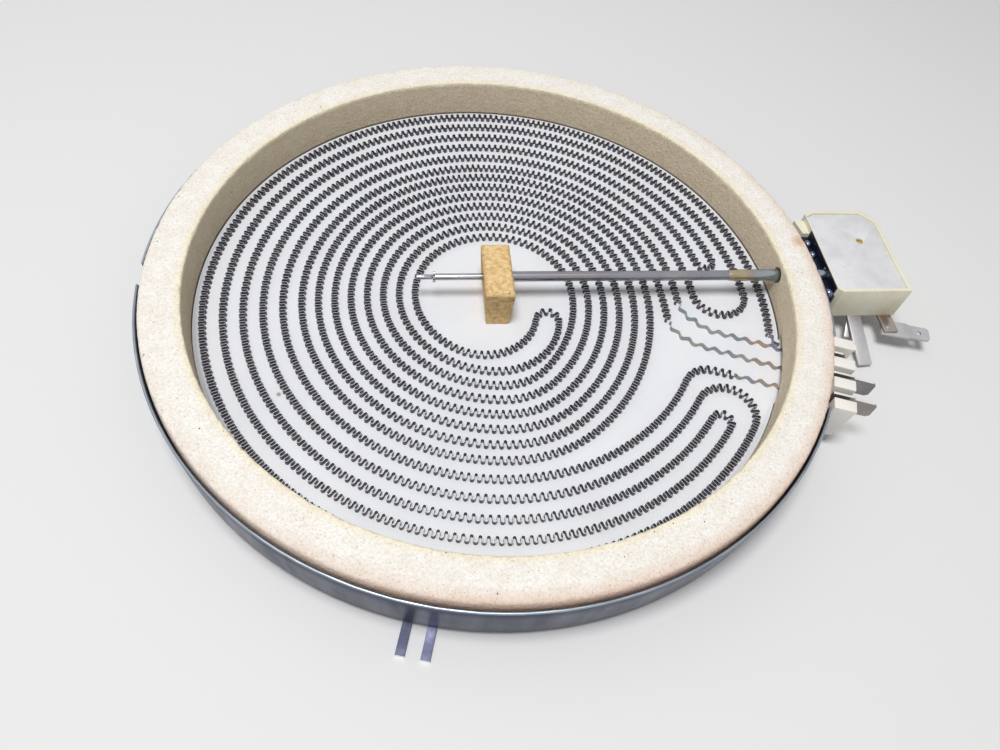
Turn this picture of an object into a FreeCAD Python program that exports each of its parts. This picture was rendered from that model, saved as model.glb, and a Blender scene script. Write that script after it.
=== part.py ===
import FreeCAD, Part
import math
import os
import Sketcher

# Radiant surface element of a glass-ceramic hob, in millimetres.
# The origin is the centre of the pan's underside, +Z is up, and +X runs
# along the temperature limiter's tube, from the middle to its switch head.

os.makedirs("parts", exist_ok=True)
doc = FreeCAD.newDocument("radiant_surface_element")
sheet = doc.addObject("Spreadsheet::Sheet", "Sizes")
Vector = FreeCAD.Vector
upward = Vector(0, 0, 1)


class Size:
    """A number together with the spreadsheet formula that gives it."""

    def __init__(self, number, formula):
        self.number = float(number)
        self.formula = formula

    def joined(self, other, sign, number):
        text = other.formula if isinstance(other, Size) else repr(float(other))
        return Size(number, "(%s %s %s)" % (self.formula, sign, text))

    def __add__(self, other):
        return self.joined(other, "+", self.number + plain(other))

    def __sub__(self, other):
        return self.joined(other, "-", self.number - plain(other))

    def __mul__(self, other):
        return self.joined(other, "*", self.number * plain(other))

    def __truediv__(self, other):
        return self.joined(other, "/", self.number / plain(other))

    def __neg__(self):
        return self * -1


def plain(value):
    return value.number if isinstance(value, Size) else float(value)


def cosine(angle):
    return Size(math.cos(math.radians(angle.number)), "cos(%s)" % angle.formula)


def sine(angle):
    return Size(math.sin(math.radians(angle.number)), "sin(%s)" % angle.formula)


zero = Size(0, "0")


# Driving dimensions: alias, value in mm or degrees, meaning
dimensions = [
    ("pan_radius", 106.0, "outer radius at the rim"),
    ("pan_height", 18.2, "underside to rim"),
    ("pan_sheet", 0.8, "sheet thickness"),
    ("pan_draft", 0.8, "how far the wall leans out"),
    ("pan_corner", 2.5, "outer radius of the bottom corner"),
    ("pan_notch_width", 8.2, "locating notch in the rim"),
    ("pan_notch_depth", 2.6, "locating notch in the rim"),
    ("tube_notch_width", 4.8, "notch in the rim for the limiter's tube"),
    ("base_thickness", 5.8, "insulating base that carries the coils"),
    ("base_side_gap", 0.9, "base to pan wall, at the base's top"),
    ("base_chamfer", 2.2, "lower edge, clear of the pan's corner"),
    ("lip_height", 0.95, "raised edge of the base at the ring"),
    ("lip_width", 0.3, "raised edge before its fillet"),
    ("lip_gap", 0.2, "lip to ring"),
    ("ring_rim_gap", 1.7, "ring inside the pan's outer radius"),
    ("ring_width", 11.7, "ring of pressed vermiculite"),
    ("ring_height", 14.1, "base to glass"),
    ("ring_outer_round", 1.2, "worn outer top edge"),
    ("ring_inner_bevel", 0.5, "inner top edge"),
    ("tube_height", 15.8, "limiter tube axis above the underside"),
    ("tube_radius", 1.6, "limiter tube, outside"),
    ("tube_wall", 0.4, "limiter tube"),
    ("tube_start", 3.9, "tube end inside the block, back from the centre"),
    ("rod_radius", 1.05, "expansion rod"),
    ("rod_reach", 19.9, "rod end, back from the centre"),
    ("rod_tip_length", 3.3, "slim end of the rod"),
    ("rod_tip_radius", 0.8, "slim end of the rod"),
    ("rod_into_head", 7.5, "rod past the head's face"),
    ("collar_radius", 1.8, "stop collar on the rod"),
    ("collar_width", 0.8, "stop collar on the rod"),
    ("sleeve_start", 75.7, "steel sleeve over the tube"),
    ("sleeve_wall", 0.25, "steel sleeve over the tube"),
    ("sleeve_fit", 0.02, "sleeve to tube"),
    ("sleeve_into_head", 3.0, "sleeve past the head's face"),
    ("tube_hole_radius", 2.7, "hole through the ring"),
    ("block_width", 9.3, "centre block at its top, along the tube"),
    ("block_foot_width", 7.3, "centre block at its foot, along the tube"),
    ("block_length", 21.6, "centre block across the tube"),
    ("block_shift", 0.9, "block middle from the tube, towards -Y"),
    ("block_bevel", 0.9, "worn top edges of the block"),
    ("block_bore_fit", 0.05, "bore to tube"),
    ("block_below_glass", 0.1, "block top below the ring's top"),
    ("ribbon_width", 2.5, "across the waves of the heating ribbon"),
    ("ribbon_height", 2.0, "part of the ribbon that stands out of the base"),
    ("ribbon_crown", 2.4, "top of the ribbon's envelope"),
    ("ribbon_sag", 0.4, "how far a straight piece of the envelope leaves its arc"),
    ("inner_track_radius", 25.4, "smallest track of the inner circuit"),
    ("inner_pitch", 5.0, "between tracks of the inner circuit"),
    ("circuit_gap", 5.7, "widest inner track to the smallest outer one"),
    ("wall_gap", 2.98, "widest outer track to the ring"),
    ("outer_leg_radius", 21.0, "bend of the second track into the hairpin"),
    ("inner_leg_radius", 17.0, "bend of the first track into the hairpin"),
    ("lead_bend_radius", 8.0, "bend of the outer circuit to its lead"),
    ("block_angle", -19.0, "terminal block, seen from above"),
    ("block_middle", -5.95, "terminal block's middle, beside that line"),
    ("fin_pitch", 7.72, "between fins of the terminal block"),
    ("fin_thickness", 3.75, "fins of the terminal block"),
    ("fin_count", 4, "fins of the terminal block"),
    ("fin_length", 6.5, "fins past the terminal block's face, at the top"),
    ("fin_lean", 1.5, "fin tips further in at the bottom"),
    ("terminal_setback", 1.1, "terminal block's face inside the pan's radius"),
    ("terminal_web", 2.4, "web between the fins"),
    ("terminal_web_height", 7.2, "web between the fins"),
    ("terminal_bottom", 4.2, "underside of the terminal block"),
    ("terminal_height", 13.8, "terminal block"),
    ("terminal_gap", 0.3, "cut-outs to terminal block"),
    ("tab_thickness", 0.8, "push-on tabs"),
    ("tab_height", 6.3, "push-on tabs on edge"),
    ("tab_length", 13.3, "terminal tabs past the terminal block's face"),
    ("tab_drop", 0.5, "tab root below the block's top"),
    ("tab_shoulder", 0.7, "tab blade below its root"),
    ("tab_tail_height", 2.2, "tail of a tab through the ring"),
    ("tab_tail_inset", 0.6, "inner end of a tab's tail from the bowl"),
    ("tab_slot_fit", 0.1, "tab to the slot in the web"),
    ("tab_tail_shift", 4.85, "inner end of a tail beside its slot"),
    ("tab_bevel", 0.9, "corners of the push-on tabs"),
    ("short_tab_length", 4.1, "tab that stays in its slot, past the face"),
    ("tunnel_height", 3.0, "passage for the leads under the ring"),
    ("tunnel_width", 26.0, "passage for the leads under the ring"),
    ("tunnel_middle", -2.0, "passage beside the terminal block's line"),
    ("lead_width", 0.6, "wavy lead strips"),
    ("lead_height", 1.9, "wavy lead strips"),
    ("lead_wave", 1.1, "height of a wave"),
    ("lead_wave_length", 4.3, "two steps of a lead"),
    ("lead_1_start", -5.4, "start of lead 1 on the widest inner track, degrees"),
    ("lead_1_bend_x", 66.6, "bend of lead 1"),
    ("lead_1_bend_y", -15.6, "bend of lead 1"),
    ("lead_2_start", -14.4, "start of lead 2 beside the widest return track"),
    ("lead_2_bend_x", 61.0, "bend of lead 2"),
    ("lead_2_bend_y", -21.3, "bend of lead 2"),
    ("coil_1_end", -4.6, "end of the widest inner track, degrees"),
    ("coil_2_end", -13.5, "end of the return track's straight piece"),
    ("track_2_tangent", 262.0, "second track leaves for the hairpin, degrees"),
    ("track_1_tangent", 239.0, "first track leaves for the hairpin, degrees"),
    ("hairpin_start", -7.0, "bend of the hairpin, degrees"),
    ("lead_3_bend_angle", -32.0, "outer circuit's start, degrees"),
    ("lead_3_heading", 72.0, "start of its first bend, degrees"),
    ("lead_3_run", 6.5, "straight ribbon between that bend and its lead"),
    ("hook_angle", -0.8, "outer circuit's hook beside the tube, degrees"),
    ("lower_hairpin_angle", -38.5, "outer circuit's lower hairpin, degrees"),
    ("upper_hairpin_angle", 10.3, "outer circuit's upper hairpin, degrees"),
    ("loop_angle", -35.5, "outer circuit's wide loop, degrees"),
    ("outer_end", -12.5, "outer circuit's end, degrees"),
    ("lead_4_end", -13.78, "end of the short lead, degrees"),
    ("lead_4_gap", 0.65, "end of the short lead to the ring"),
    ("head_gap", 3.3, "pan's rim to the switch head's face"),
    ("head_width", 25.3, "switch head along the tube"),
    ("head_near", -10.1, "near end of the switch head"),
    ("head_length", 36.8, "switch head across the tube"),
    ("head_drop", 9.1, "underside of the switch head below the tube's axis"),
    ("head_height", 12.3, "switch head"),
    ("head_corner", 4.2, "large chamfer at the far outer corner"),
    ("head_bevel", 1.5, "small chamfers at the inner corners"),
    ("head_wall", 2.6, "walls of the switch head"),
    ("head_floor", 2.4, "floor of the switch head"),
    ("head_rim", 1.2, "rim round the cover plate"),
    ("head_face_rim", 0.3, "rim at the side of the tube"),
    ("cover_thickness", 0.8, "cover plate"),
    ("cover_recess", 0.4, "cover plate below the rim"),
    ("cover_fit", 0.1, "cover plate to rim"),
    ("lug_setback", 8.9, "foot of the head, from the far end"),
    ("lug_length", 6.2, "foot of the head against the pan"),
    ("lug_top", 17.0, "foot of the head against the pan"),
    ("pan_clearance", 0.15, "head and bracket to the pan's wall"),
    ("screw_inset", 15.7, "adjusting screw from the head's face"),
    ("screw_y", 12.7, "adjusting screw from the tube"),
    ("screw_radius", 1.1, "adjusting screw"),
    ("screw_length", 3.4, "adjusting screw"),
    ("bracket_sheet", 0.8, "fixing bracket"),
    ("bracket_height", 11.7, "fixing bracket"),
    ("bracket_drop", 11.6, "lower edge of the bracket below the tube's axis"),
    ("bracket_inset", 0.5, "near end of the bracket from the head's"),
    ("bracket_foot_gap", 0.6, "far end of the bracket to the head's foot"),
    ("bracket_tube_gap", 2.3, "half of the gap round the sleeve"),
    ("rivet_radius", 1.5, "heads on the fixing bracket"),
    ("leaf_thickness", 0.3, "switch springs"),
    ("leaf_height", 3.6, "switch springs"),
    ("leaf_gap", 5.5, "between the two switch springs"),
    ("strap_thickness", 0.8, "tab straps under the switch head"),
    ("large_strap_inset", 22.0, "strap of the large tab, from the head's face"),
    ("large_strap_width", 4.8, "strap of the large tab"),
    ("large_strap_overhang", 6.9, "strap past the head's near end"),
    ("strap_inside", 8.0, "straps under the head, from its near end"),
    ("large_tab_width", 6.3, "large push-on tab"),
    ("large_tab_angle", -15.0, "large push-on tab"),
    ("large_tab_length", 14.0, "large push-on tab from the weld"),
    ("large_tab_hole", 0.8, "radius of the hole in the large tab"),
    ("weld_radius", 1.3, "spot weld on the strap"),
    ("small_tab_inset", 11.1, "small push-on tab, from the head's face"),
    ("small_tab_width", 4.8, "small push-on tab"),
    ("small_tab_slope", 20.0, "small tab's fall"),
    ("small_tab_angle", -86.0, "small tab seen from above"),
    ("small_tab_length", 17.0, "small push-on tab from its bend"),
    ("side_tab_inset", 10.9, "narrow tab, from the head's face"),
    ("side_tab_width", 2.8, "narrow tab below the small one"),
    ("side_tab_length", 7.6, "narrow tab below the small one"),
    ("side_tab_slope", 26.0, "narrow tab's fall"),
    ("side_tab_angle", -107.0, "narrow tab seen from above"),
    ("fork_angle", -104.7, "front fixing fork, seen from above"),
    ("fork_sheet", 1.0, "fixing forks"),
    ("fork_root", 20.0, "fork inside the pan's radius"),
    ("fork_overhang", 7.1, "finger tips past the pan's radius"),
    ("finger_length", 14.1, "fingers of a fork"),
    ("finger_width", 2.45, "fingers of a fork"),
    ("finger_pitch", 6.4, "between the fingers"),
]

size = {}
for row, (name, value, meaning) in enumerate(dimensions, start=1):
    sheet.set("A%d" % row, name)
    sheet.set("B%d" % row, str(value))
    sheet.set("C%d" % row, meaning)
    sheet.setAlias("B%d" % row, name)
    size[name] = Size(value, "Sizes." + name)
doc.recompute()

# Places that several pieces share
floor_top = size["pan_sheet"]
base_top = floor_top + size["base_thickness"]
ring_outer_radius = size["pan_radius"] - size["ring_rim_gap"]
ring_inner_radius = ring_outer_radius - size["ring_width"]
head_bottom = size["tube_height"] - size["head_drop"]
head_top = head_bottom + size["head_height"]
head_face = size["pan_radius"] + size["head_gap"]
head_back = head_face + size["head_width"]
head_far = size["head_near"] + size["head_length"]
lug_start = head_far - size["lug_setback"]
bracket_bottom = size["tube_height"] - size["bracket_drop"]
bracket_top = bracket_bottom + size["bracket_height"]
bracket_start = size["head_near"] + size["bracket_inset"]
bracket_end = lug_start - size["bracket_foot_gap"]
terminal_face = size["pan_radius"] - size["terminal_setback"]
terminal_top = size["terminal_bottom"] + size["terminal_height"]
tail_start = ring_inner_radius + size["tab_tail_inset"]
widest_inner_track = size["inner_track_radius"] + size["inner_pitch"] * 7
outer_track_radius = widest_inner_track + size["circuit_gap"]
widest_outer_track = ring_inner_radius - size["wall_gap"]
outer_pitch = (widest_outer_track - outer_track_radius) / 4
wall_lean = size["pan_draft"] / size["pan_height"]


# Drawing and feature helpers

def bind(item, field, value):
    """Ties a property of a document object to the sheet."""
    item.setExpression(field, value.formula if isinstance(value, Size) else repr(float(value)))


def new_body(name, x=None, y=None, z=None, angle=None):
    """A part in its own frame; x, y, z and a turn about Z place it."""
    body = doc.addObject("PartDesign::Body", name)
    body.Label = name
    body.Placement = FreeCAD.Placement(Vector(), FreeCAD.Rotation(upward, plain(angle or 0)))
    for field, value in (("x", x), ("y", y), ("z", z)):
        if value is not None:
            bind(body, ".Placement.Base." + field, value)
    if angle is not None:
        bind(body, ".Placement.Rotation.Angle", angle)
    return body


def new_sketch(body, plane, name, offset=None):
    """A sketch on one of the body's own origin planes, moved along its normal."""
    support = [item for item in body.Origin.OriginFeatures if item.Role == plane][0]
    sketch = body.newObject("Sketcher::SketchObject", name)
    sketch.AttachmentSupport = [(support, "")]
    sketch.MapMode = "FlatFace"
    if offset is not None:
        bind(sketch, ".AttachmentOffset.Base.z", offset)
    return sketch


def pin(sketch, item, point, x, y):
    """Places a point of the sketch by its two distances from the origin."""
    for kind, value in (("DistanceX", x), ("DistanceY", y)):
        index = sketch.addConstraint(
            Sketcher.Constraint(kind, -1, 1, item, point, plain(value)))
        if isinstance(value, Size):
            bind(sketch, "Constraints[%d]" % index, value)


def polygon(sketch, corners):
    """A closed outline of straight lines."""
    spots = [Vector(plain(x), plain(y), 0) for x, y in corners]
    first = sketch.GeometryCount
    count = len(corners)
    for i in range(count):
        sketch.addGeometry(Part.LineSegment(spots[i], spots[(i + 1) % count]), False)
    for i in range(count):
        following = first + (i + 1) % count
        sketch.addConstraint(Sketcher.Constraint("Coincident", first + i, 2, following, 1))
    for i, (x, y) in enumerate(corners):
        pin(sketch, first + i, 1, x, y)


def rectangle(sketch, left, right, low, high):
    polygon(sketch, [(left, low), (right, low), (right, high), (left, high)])


def disc(sketch, x, y, radius):
    item = sketch.addGeometry(
        Part.Circle(Vector(plain(x), plain(y), 0), upward, plain(radius)), False)
    pin(sketch, item, 3, x, y)
    index = sketch.addConstraint(Sketcher.Constraint("Radius", item, plain(radius)))
    bind(sketch, "Constraints[%d]" % index, radius)


def pad(body, sketch, length, name, midway=False):
    feature = body.newObject("PartDesign::Pad", name)
    feature.Profile = sketch
    feature.Midplane = midway
    bind(feature, "Length", length)
    return feature


def cut(body, sketch, length, name, other_way=False, midway=False):
    """Removes the outline's prism; the volume shows that it met the solid."""
    doc.recompute()
    before = body.Shape.Volume
    feature = body.newObject("PartDesign::Pocket", name)
    feature.Profile = sketch
    feature.Reversed = other_way
    feature.Midplane = midway
    bind(feature, "Length", length)
    doc.recompute()
    if body.Shape.Volume > before - 1e-4:
        raise RuntimeError(name + " removes nothing")
    return feature


def turned(body, sketch, name):
    """Turns an outline in the XZ plane about the body's Z axis."""
    feature = body.newObject("PartDesign::Revolution", name)
    feature.Profile = sketch
    feature.ReferenceAxis = (sketch, ["V_Axis"])
    feature.Angle = 360
    return feature


def dress(body, kind, name, value, wanted):
    """Rounds or bevels those edges of the body that wanted accepts."""
    doc.recompute()
    base = body.Tip
    edges = ["Edge%d" % (i + 1) for i, edge in enumerate(base.Shape.Edges) if wanted(edge)]
    if not edges:
        raise RuntimeError(name + " finds no edge")
    feature = body.newObject("PartDesign::" + kind, name)
    feature.Base = (base, edges)
    bind(feature, "Radius" if kind == "Fillet" else "Size", value)
    return feature


def at_height(height):
    """Accepts the edges that lie at one height of the body's own frame."""
    def wanted(edge):
        box = edge.BoundBox
        return max(abs(box.ZMin - plain(height)), abs(box.ZMax - plain(height))) < 1e-3
    return wanted


def bar_along_x(body, name, start, end, radius, bore=None):
    """A round bar or tube along the body's X axis."""
    sketch = new_sketch(body, "YZ_Plane", name + "_section", start)
    disc(sketch, zero, zero, radius)
    if bore is not None:
        disc(sketch, zero, zero, bore)
    return pad(body, sketch, end - start, name)


# Pan and insulation

def make_pan():
    """Drawn steel pan, open where the terminal block leaves it."""
    body = new_body("pan")
    radius, height, sheet_size = size["pan_radius"], size["pan_height"], size["pan_sheet"]
    foot = radius - size["pan_draft"]
    section = new_sketch(body, "XZ_Plane", "pan_section")
    outside = soft_corner(foot, zero, size["pan_corner"])
    inside = soft_corner(foot - sheet_size, sheet_size, size["pan_corner"] - sheet_size)
    polygon(section, [(zero, zero)] + outside
            + [(radius, height), (radius - sheet_size, height)] + inside[::-1]
            + [(zero, sheet_size)])
    turned(body, section, "pan_shell")
    window = new_sketch(body, "XY_Plane", "pan_window_outline", height + 1)
    half = terminal_half_width() + size["terminal_gap"]
    along, across = turn_axes(size["block_angle"])
    middle = size["block_middle"]
    polygon(window, [turn(along, across, u, middle + w) for u, w in
                     ((terminal_face - 8, -half), (radius + 8, -half),
                      (radius + 8, half), (terminal_face - 8, half))])
    cut(body, window, height + 1 - size["terminal_bottom"] + size["terminal_gap"], "pan_window")
    notch = new_sketch(body, "XY_Plane", "pan_notch_outline", height + 1)
    rectangle(notch, -radius - 2, -radius + 6, -(size["pan_notch_width"] / 2),
              size["pan_notch_width"] / 2)
    cut(body, notch, size["pan_notch_depth"] + 1, "pan_notch")
    half = size["tube_notch_width"] / 2
    passage = new_sketch(body, "XY_Plane", "tube_notch_outline", height + 1)
    rectangle(passage, radius - 6, radius + 2, -half, half)
    cut(body, passage, height + 1 - size["tube_height"] + half, "tube_notch")
    return body


def soft_corner(x, z, radius):
    """Three points of a section that round a lower outer corner in two flats."""
    near = radius * 0.293
    return [(x - radius, z), (x - near, z + near), (x + wall_lean * radius, z + radius)]


def turn_axes(angle):
    """Unit vectors of a frame turned about Z."""
    return (cosine(angle), sine(angle)), (-sine(angle), cosine(angle))


def turn(along, across, u, v):
    """A point given in that frame, in the part's own axes."""
    return along[0] * u + across[0] * v, along[1] * u + across[1] * v


def terminal_half_width():
    return (size["fin_pitch"] * (size["fin_count"] - 1) + size["fin_thickness"]) / 2


def make_base():
    """Insulating disc with a raised, rounded edge at the ring."""
    body = new_body("base_insulation", z=floor_top)
    side = size["pan_radius"] - size["pan_draft"] - size["pan_sheet"] - size["base_side_gap"]
    thick = size["base_thickness"]
    lip_outside = ring_inner_radius - size["lip_gap"]
    lip_inside = lip_outside - size["lip_width"]
    lip_top = thick + size["lip_height"]
    cove = size["lip_height"]
    section = new_sketch(body, "XZ_Plane", "base_section")
    polygon(section, [(zero, zero), (side - size["base_chamfer"], zero),
                      (side, size["base_chamfer"]), (side, thick), (lip_outside, thick),
                      (lip_outside, lip_top), (lip_inside, lip_top),
                      (lip_inside - cove * 0.293, thick + cove * 0.293),
                      (lip_inside - cove, thick), (zero, thick)])
    turned(body, section, "base_disc")
    gate = new_sketch(body, "XY_Plane", "base_gate_outline", lip_top + 1)
    tunnel_outline(gate, ring_inner_radius - 6, ring_inner_radius + 4)
    cut(body, gate, size["lip_height"] + 1, "base_gate")
    return body


def tunnel_outline(sketch, start, end):
    """The passage for the leads, along the terminal block's line."""
    along, across = turn_axes(size["block_angle"])
    low = size["tunnel_middle"] - size["tunnel_width"] / 2
    high = size["tunnel_middle"] + size["tunnel_width"] / 2
    rows = ((start, low), (end, low), (end, high), (start, high))
    polygon(sketch, [turn(along, across, u, w) for u, w in rows])


def make_ring():
    """Pressed ring that stands between the base and the glass."""
    body = new_body("ring_insulation", z=base_top)
    inner, outer = ring_inner_radius, ring_outer_radius
    tall = size["ring_height"]
    section = new_sketch(body, "XZ_Plane", "ring_section")
    worn, bevel = size["ring_outer_round"], size["ring_inner_bevel"]
    polygon(section, [(inner, zero), (outer, zero), (outer, tall - worn),
                      (outer - worn * 0.293, tall - worn * 0.293), (outer - worn, tall),
                      (inner + bevel, tall), (inner, tall - bevel)])
    turned(body, section, "ring_wall")
    hole = new_sketch(body, "YZ_Plane", "tube_hole_outline", inner - 4)
    disc(hole, zero, size["tube_height"] - base_top, size["tube_hole_radius"])
    cut(body, hole, size["ring_width"] + 8, "tube_hole", other_way=True)
    passage = new_sketch(body, "XY_Plane", "lead_tunnel_outline", size["tunnel_height"])
    tunnel_outline(passage, inner - 8, outer + 4)
    cut(body, passage, size["tunnel_height"] + 1, "lead_tunnel")
    return body


def make_centre_block():
    """Wedge-shaped block that carries the tube's inner end."""
    body = new_body("centre_block", y=-(size["block_shift"]), z=base_top)
    tall = size["ring_height"] - size["block_below_glass"]
    foot, top = size["block_foot_width"] / 2, size["block_width"] / 2
    end_view = new_sketch(body, "XZ_Plane", "block_end_view")
    polygon(end_view, [(-foot, zero), (foot, zero), (top, tall), (-top, tall)])
    pad(body, end_view, size["block_length"], "block_wedge", midway=True)
    dress(body, "Chamfer", "block_worn_edges", size["block_bevel"], at_height(tall))
    bore = new_sketch(body, "YZ_Plane", "block_bore_outline", top + 1)
    disc(bore, size["block_shift"], size["tube_height"] - base_top,
         size["tube_radius"] + size["block_bore_fit"])
    cut(body, bore, top * 2 + 2, "block_bore")
    return body


# Heating circuits: wavy ribbons on edge, on paths of tangent arcs about the centre

def value(name):
    """The sheet's number, for shapes that are worked out in code."""
    return float(sheet.get(name))


def polar(centre, radius, angle):
    turn_by = math.radians(angle)
    return Vector(centre[0] + radius * math.cos(turn_by), centre[1] + radius * math.sin(turn_by), 0)


def arc(centre, radius, start, end):
    """An arc edge from one angle to the other, either way round."""
    return Part.Arc(polar(centre, radius, start), polar(centre, radius, (start + end) / 2),
                    polar(centre, radius, end)).toShape()


def step_out(near, far, downward):
    """Two arcs from the track on the +X axis to the wider one on the -Y axis."""
    second = near * near / far
    first = (near * near + far * far - 2 * far * second) / (2 * (near - second))
    split = -math.degrees(math.atan2(far - second, first - near))
    pair = [((near - first, 0), first, 0, split), ((0, second - far), second, split, -90)]
    if downward:
        return [arc(*piece) for piece in pair]
    return [arc(centre, radius, end, start) for centre, radius, start, end in reversed(pair)]


def half_turn(inside, outside, angle, clockwise, outward):
    """A half circle that joins two tracks at one angle."""
    centre = polar((0, 0), (inside + outside) / 2, angle)
    start = angle + (180 if outward else 0)
    end = start + (-180 if clockwise else 180)
    return arc((centre.x, centre.y), (outside - inside) / 2, start, end)


def inner_circuit():
    """Double spiral: out along the odd tracks, back along the even ones."""
    radius = [value("inner_track_radius") + k * value("inner_pitch") for k in range(8)]
    origin = (0, 0)
    path = [arc(origin, radius[7], value("coil_1_end"), 270)]
    for k in (7, 5, 3):
        path += step_out(radius[k - 2], radius[k], downward=False)
        last = value("track_2_tangent") if k == 3 else 270
        path.append(arc(origin, radius[k - 2], 0, last))
    path += hairpin(radius[0], radius[1])
    path.append(arc(origin, radius[0], value("track_1_tangent"), 0))
    for k in (0, 2, 4):
        path += step_out(radius[k], radius[k + 2], downward=True)
        path.append(arc(origin, radius[k + 2], 270, 0))
    end = Vector(radius[6], 0, 0)
    path.append(Part.makeLine(end, end + Vector(0, value("coil_2_end"), 0)))
    return path


def hairpin(small, large):
    """The two legs that leave the smallest tracks, and the bend that joins them."""
    outside, inside = value("outer_leg_radius"), value("inner_leg_radius")
    outer_start, inner_end = value("track_2_tangent"), value("track_1_tangent")
    bend_start = value("hairpin_start")
    outer_centre = polar((0, 0), large - outside, outer_start)
    inner_centre = polar((0, 0), small - inside, inner_end)
    apart = outer_centre - inner_centre
    aim = polar((0, 0), 1, bend_start)
    bend = ((apart.dot(apart) + 2 * outside * apart.dot(aim) + outside ** 2 - inside ** 2)
            / (2 * apart.dot(aim) + 2 * outside + 2 * inside))
    bend_centre = outer_centre + aim * (outside - bend)
    meet = bend_centre - inner_centre
    meet_angle = math.degrees(math.atan2(meet.y, meet.x))
    return [
        arc((outer_centre.x, outer_centre.y), outside, outer_start, 360 + bend_start),
        arc((bend_centre.x, bend_centre.y), bend, bend_start, 180 + meet_angle),
        arc((inner_centre.x, inner_centre.y), inside, 360 + meet_angle, inner_end)]


def outer_circuit():
    """Five tracks joined end to end, from lead 3 to the outermost tail."""
    radius = [outer_track_radius.number + k * outer_pitch.number for k in range(5)]
    origin = (0, 0)
    bend = value("lead_bend_radius")
    start, hook = value("lead_3_bend_angle"), value("hook_angle")
    lower, upper = value("lower_hairpin_angle"), value("upper_hairpin_angle")
    loop, end = value("loop_angle"), value("outer_end")
    bend_centre = polar(origin, radius[0] + bend, start)
    heading, run = value("lead_3_heading"), value("lead_3_run")
    first = bend_centre + polar(origin, bend, heading)
    return [
        Part.makeLine(first + polar(origin, run, heading - 90), first),
        arc((bend_centre.x, bend_centre.y), bend, heading, 180 + start),
        arc(origin, radius[0], start, -360 + hook),
        half_turn(radius[0], radius[3], hook, clockwise=False, outward=True),
        arc(origin, radius[3], hook, 360 + lower),
        half_turn(radius[2], radius[3], lower, clockwise=False, outward=False),
        arc(origin, radius[2], lower, -360 + upper),
        half_turn(radius[1], radius[2], upper, clockwise=True, outward=False),
        arc(origin, radius[1], upper, 360 + loop),
        half_turn(radius[1], radius[4], loop, clockwise=True, outward=True),
        arc(origin, radius[4], loop, -360 + end)]


def chords(edges):
    """Points along a path, as close as the allowed sag of each arc asks."""
    spots = []
    for edge in edges:
        count = 2
        if isinstance(edge.Curve, Part.Circle):
            radius = edge.Curve.Radius
            widest = 2 * math.acos(1 - min(value("ribbon_sag") / radius, 0.03))
            count = 1 + math.ceil(edge.Length / radius / widest)
        row = edge.discretize(count)
        if edge.Orientation == "Reversed":
            row.reverse()
        spots += [spot for spot in row if not spots or spot.distanceToPoint(spots[-1]) > 0.01]
    return spots


def make_circuit(name, edges):
    """The envelope of a wavy ribbon above the base, lofted along its path."""
    path = Part.Wire(edges)
    spots = chords(path.OrderedEdges)
    half, crown, tall = value("ribbon_width") / 2, value("ribbon_crown") / 2, value("ribbon_height")
    corners = [(-half, 0), (half, 0), (crown, tall), (-crown, tall), (-half, 0)]
    headings = [(end - start).normalize() for start, end in zip(spots, spots[1:])]
    sections = []
    for spot, before, after in zip(spots, headings[:1] + headings, headings + headings[-1:]):
        middle = (before + after).normalize()
        side = upward.cross(middle) / middle.dot(after)
        sections.append(Part.makePolygon([spot + side * u + upward * w for u, w in corners]))
    item = doc.addObject("Part::Feature", name)
    item.Label = name
    item.Shape = Part.makeLoft(sections, True, True)
    item.Placement = FreeCAD.Placement(Vector(0, 0, base_top.number), FreeCAD.Rotation())
    share = (half + crown) * tall * path.Length
    if abs(item.Shape.Volume / share - 1) > 0.01:
        raise RuntimeError("%s has %.1f of %.1f mm3" % (name, item.Shape.Volume, share))
    return item


# Lead strips

def make_lead(number, corners):
    """A wavy strip through the given corners, on the base."""
    name = "lead_%d" % number
    body = new_body(name, z=base_top)
    half, rise = size["lead_width"] / 2, size["lead_wave"] / 2
    left, right = [], []
    swing = 1
    for leg, (start, end) in enumerate(zip(corners, corners[1:])):
        run_x, run_y = end[0] - start[0], end[1] - start[1]
        length = math.hypot(run_x.number, run_y.number)
        steps = max(2, round(2 * length / value("lead_wave_length")))
        side_x, side_y = -run_y / length, run_x / length
        for i in range(1 if leg else 0, steps + 1):
            share = i / steps
            shift = rise * (swing if 0 < i < steps else 0)
            swing = -swing
            middle_x = start[0] + run_x * share + side_x * shift
            middle_y = start[1] + run_y * share + side_y * shift
            left.append((middle_x + side_x * half, middle_y + side_y * half))
            right.append((middle_x - side_x * half, middle_y - side_y * half))
    sketch = new_sketch(body, "XY_Plane", name + "_outline")
    polygon(sketch, left + right[::-1])
    pad(body, sketch, size["lead_height"], name + "_strip")
    return body


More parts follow.
